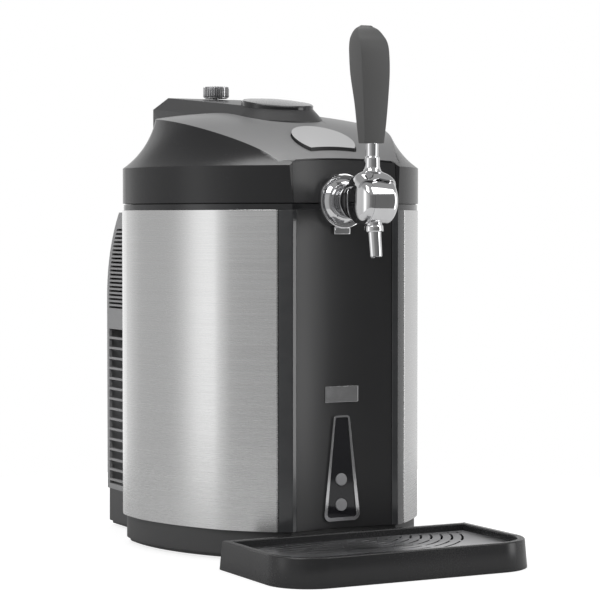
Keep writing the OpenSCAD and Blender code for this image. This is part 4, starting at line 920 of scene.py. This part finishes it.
handle_curve = between_rows(handle_rows, 5)
half, front, back, level = handle_curve[0]
bpy.ops.object.select_all(action="DESELECT")
bpy.ops.mesh.primitive_plane_add(size=1, location=(0, (front + back) / 2, level))
handle = bpy.context.object
handle.name = "tap_handle_piece"
handle.scale = (2 * half, back - front, 1)
bpy.ops.object.transform_apply()
bpy.ops.object.mode_set(mode="EDIT")
bpy.ops.mesh.select_all(action="SELECT")
for next_half, next_front, next_back, next_level in handle_curve[1:]:
    shift = (next_front + next_back - front - back) / 2
    push((0, shift, next_level - level))
    ratios = (next_half / half, (next_back - next_front) / (back - front), 1)
    bpy.ops.transform.resize(value=ratios, center_override=(0, (next_front + next_back) / 2, next_level))
    half, front, back, level = next_half, next_front, next_back, next_level


def upright(edge, in_front):
    (x0, y0, z0), (_, y1, z1) = ends(edge)
    row = min(handle_curve, key=lambda row: abs(row[3] - (z0 + z1) / 2))
    before = (y0 + y1) / 2 < (row[1] + row[2]) / 2
    return abs(z1 - z0) > 1e-5 and abs(x0) > 1e-3 and before == in_front


pick("edges", lambda edge: upright(edge, False))
bpy.ops.mesh.bevel(offset=0.0036, segments=5)
pick("edges", lambda edge: upright(edge, True))
bpy.ops.mesh.bevel(offset=0.0011, segments=3)
bpy.ops.object.mode_set(mode="OBJECT")
fitted(handle, grip, slot_of["tap_handle"], "tap_lever", "tap_handle", smooth=50)


# ---------- Drip tray ----------
# A satin black tray with a raised rim, and a pressed grille with rows of arc slots in it.
tray_plastic = moulded("tray_plastic", (0.018, 0.018, 0.019), (0.026, 0.026, 0.027), 0.26, depth=0.00002)
tray_low, tray_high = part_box("drip_tray")
tray_half, tray_front, tray_h = tray_high[0], tray_low[1], tray_high[2]
tray_rear = -0.086
draft, rim, seat_depth, ledge, basin_depth = 0.0018, 0.0062, 0.0085, 0.0040, 0.0060
tray = block("drip_tray_piece", (-tray_half, tray_front, 0), (tray_half, tray_rear, tray_h))


def front_upright(edge):
    start, end = ends(edge)
    return max(start.y, end.y) < tray_front + 0.001 and abs(start.z - end.z) > 0.01


pick("edges", front_upright)
tray_corner = 0.038
bpy.ops.mesh.bevel(offset=tray_corner, segments=28)
pick("polygons", lambda face: face.normal.z > 0.9)
narrower = (1 - draft / tray_half, 1 - 2 * draft / (tray_rear - tray_front), 1)
bpy.ops.transform.resize(value=narrower, center_override=(0, (tray_front + tray_rear) / 2, tray_h))
bpy.ops.mesh.inset(thickness=rim)
push((0, 0, -seat_depth))
bpy.ops.mesh.inset(thickness=ledge)
push((0, 0, -basin_depth))
pick("edges", lambda edge: all(p.z > tray_h - 0.0001 for p in ends(edge)))
bpy.ops.mesh.bevel(offset=0.0013, segments=4)
pick("edges", lambda edge: all(p.z < 0.0001 for p in ends(edge)))
bpy.ops.mesh.bevel(offset=0.0006, segments=2)
bpy.ops.object.mode_set(mode="OBJECT")
tongue_x, tongue_half, tongue_low, tongue_high = 0.035, 0.009, 0.009, 0.013
tongues = []
for side in (-1, 1):
    tongue = block(
        "tongue",
        (side * tongue_x - tongue_half, tray_rear - 0.002, tongue_low),
        (side * tongue_x + tongue_half, tray_high[1], tongue_high),
    )
    alone(tongue)
    pick("edges", lambda edge: True)
    bpy.ops.mesh.bevel(offset=0.0006, segments=2)
    bpy.ops.object.mode_set(mode="OBJECT")
    tongues.append(tongue)
fitted(joined(tray, *tongues), tray_plastic, slot_of["drip_tray"], "drip_tray", "drip_tray", smooth=30)
grille_steel = brushed("grille_steel", (0.26, 0.26, 0.27), (0.40, 0.40, 0.41), 0.34)
dressed("drip_grille", 0.0003, grille_steel)
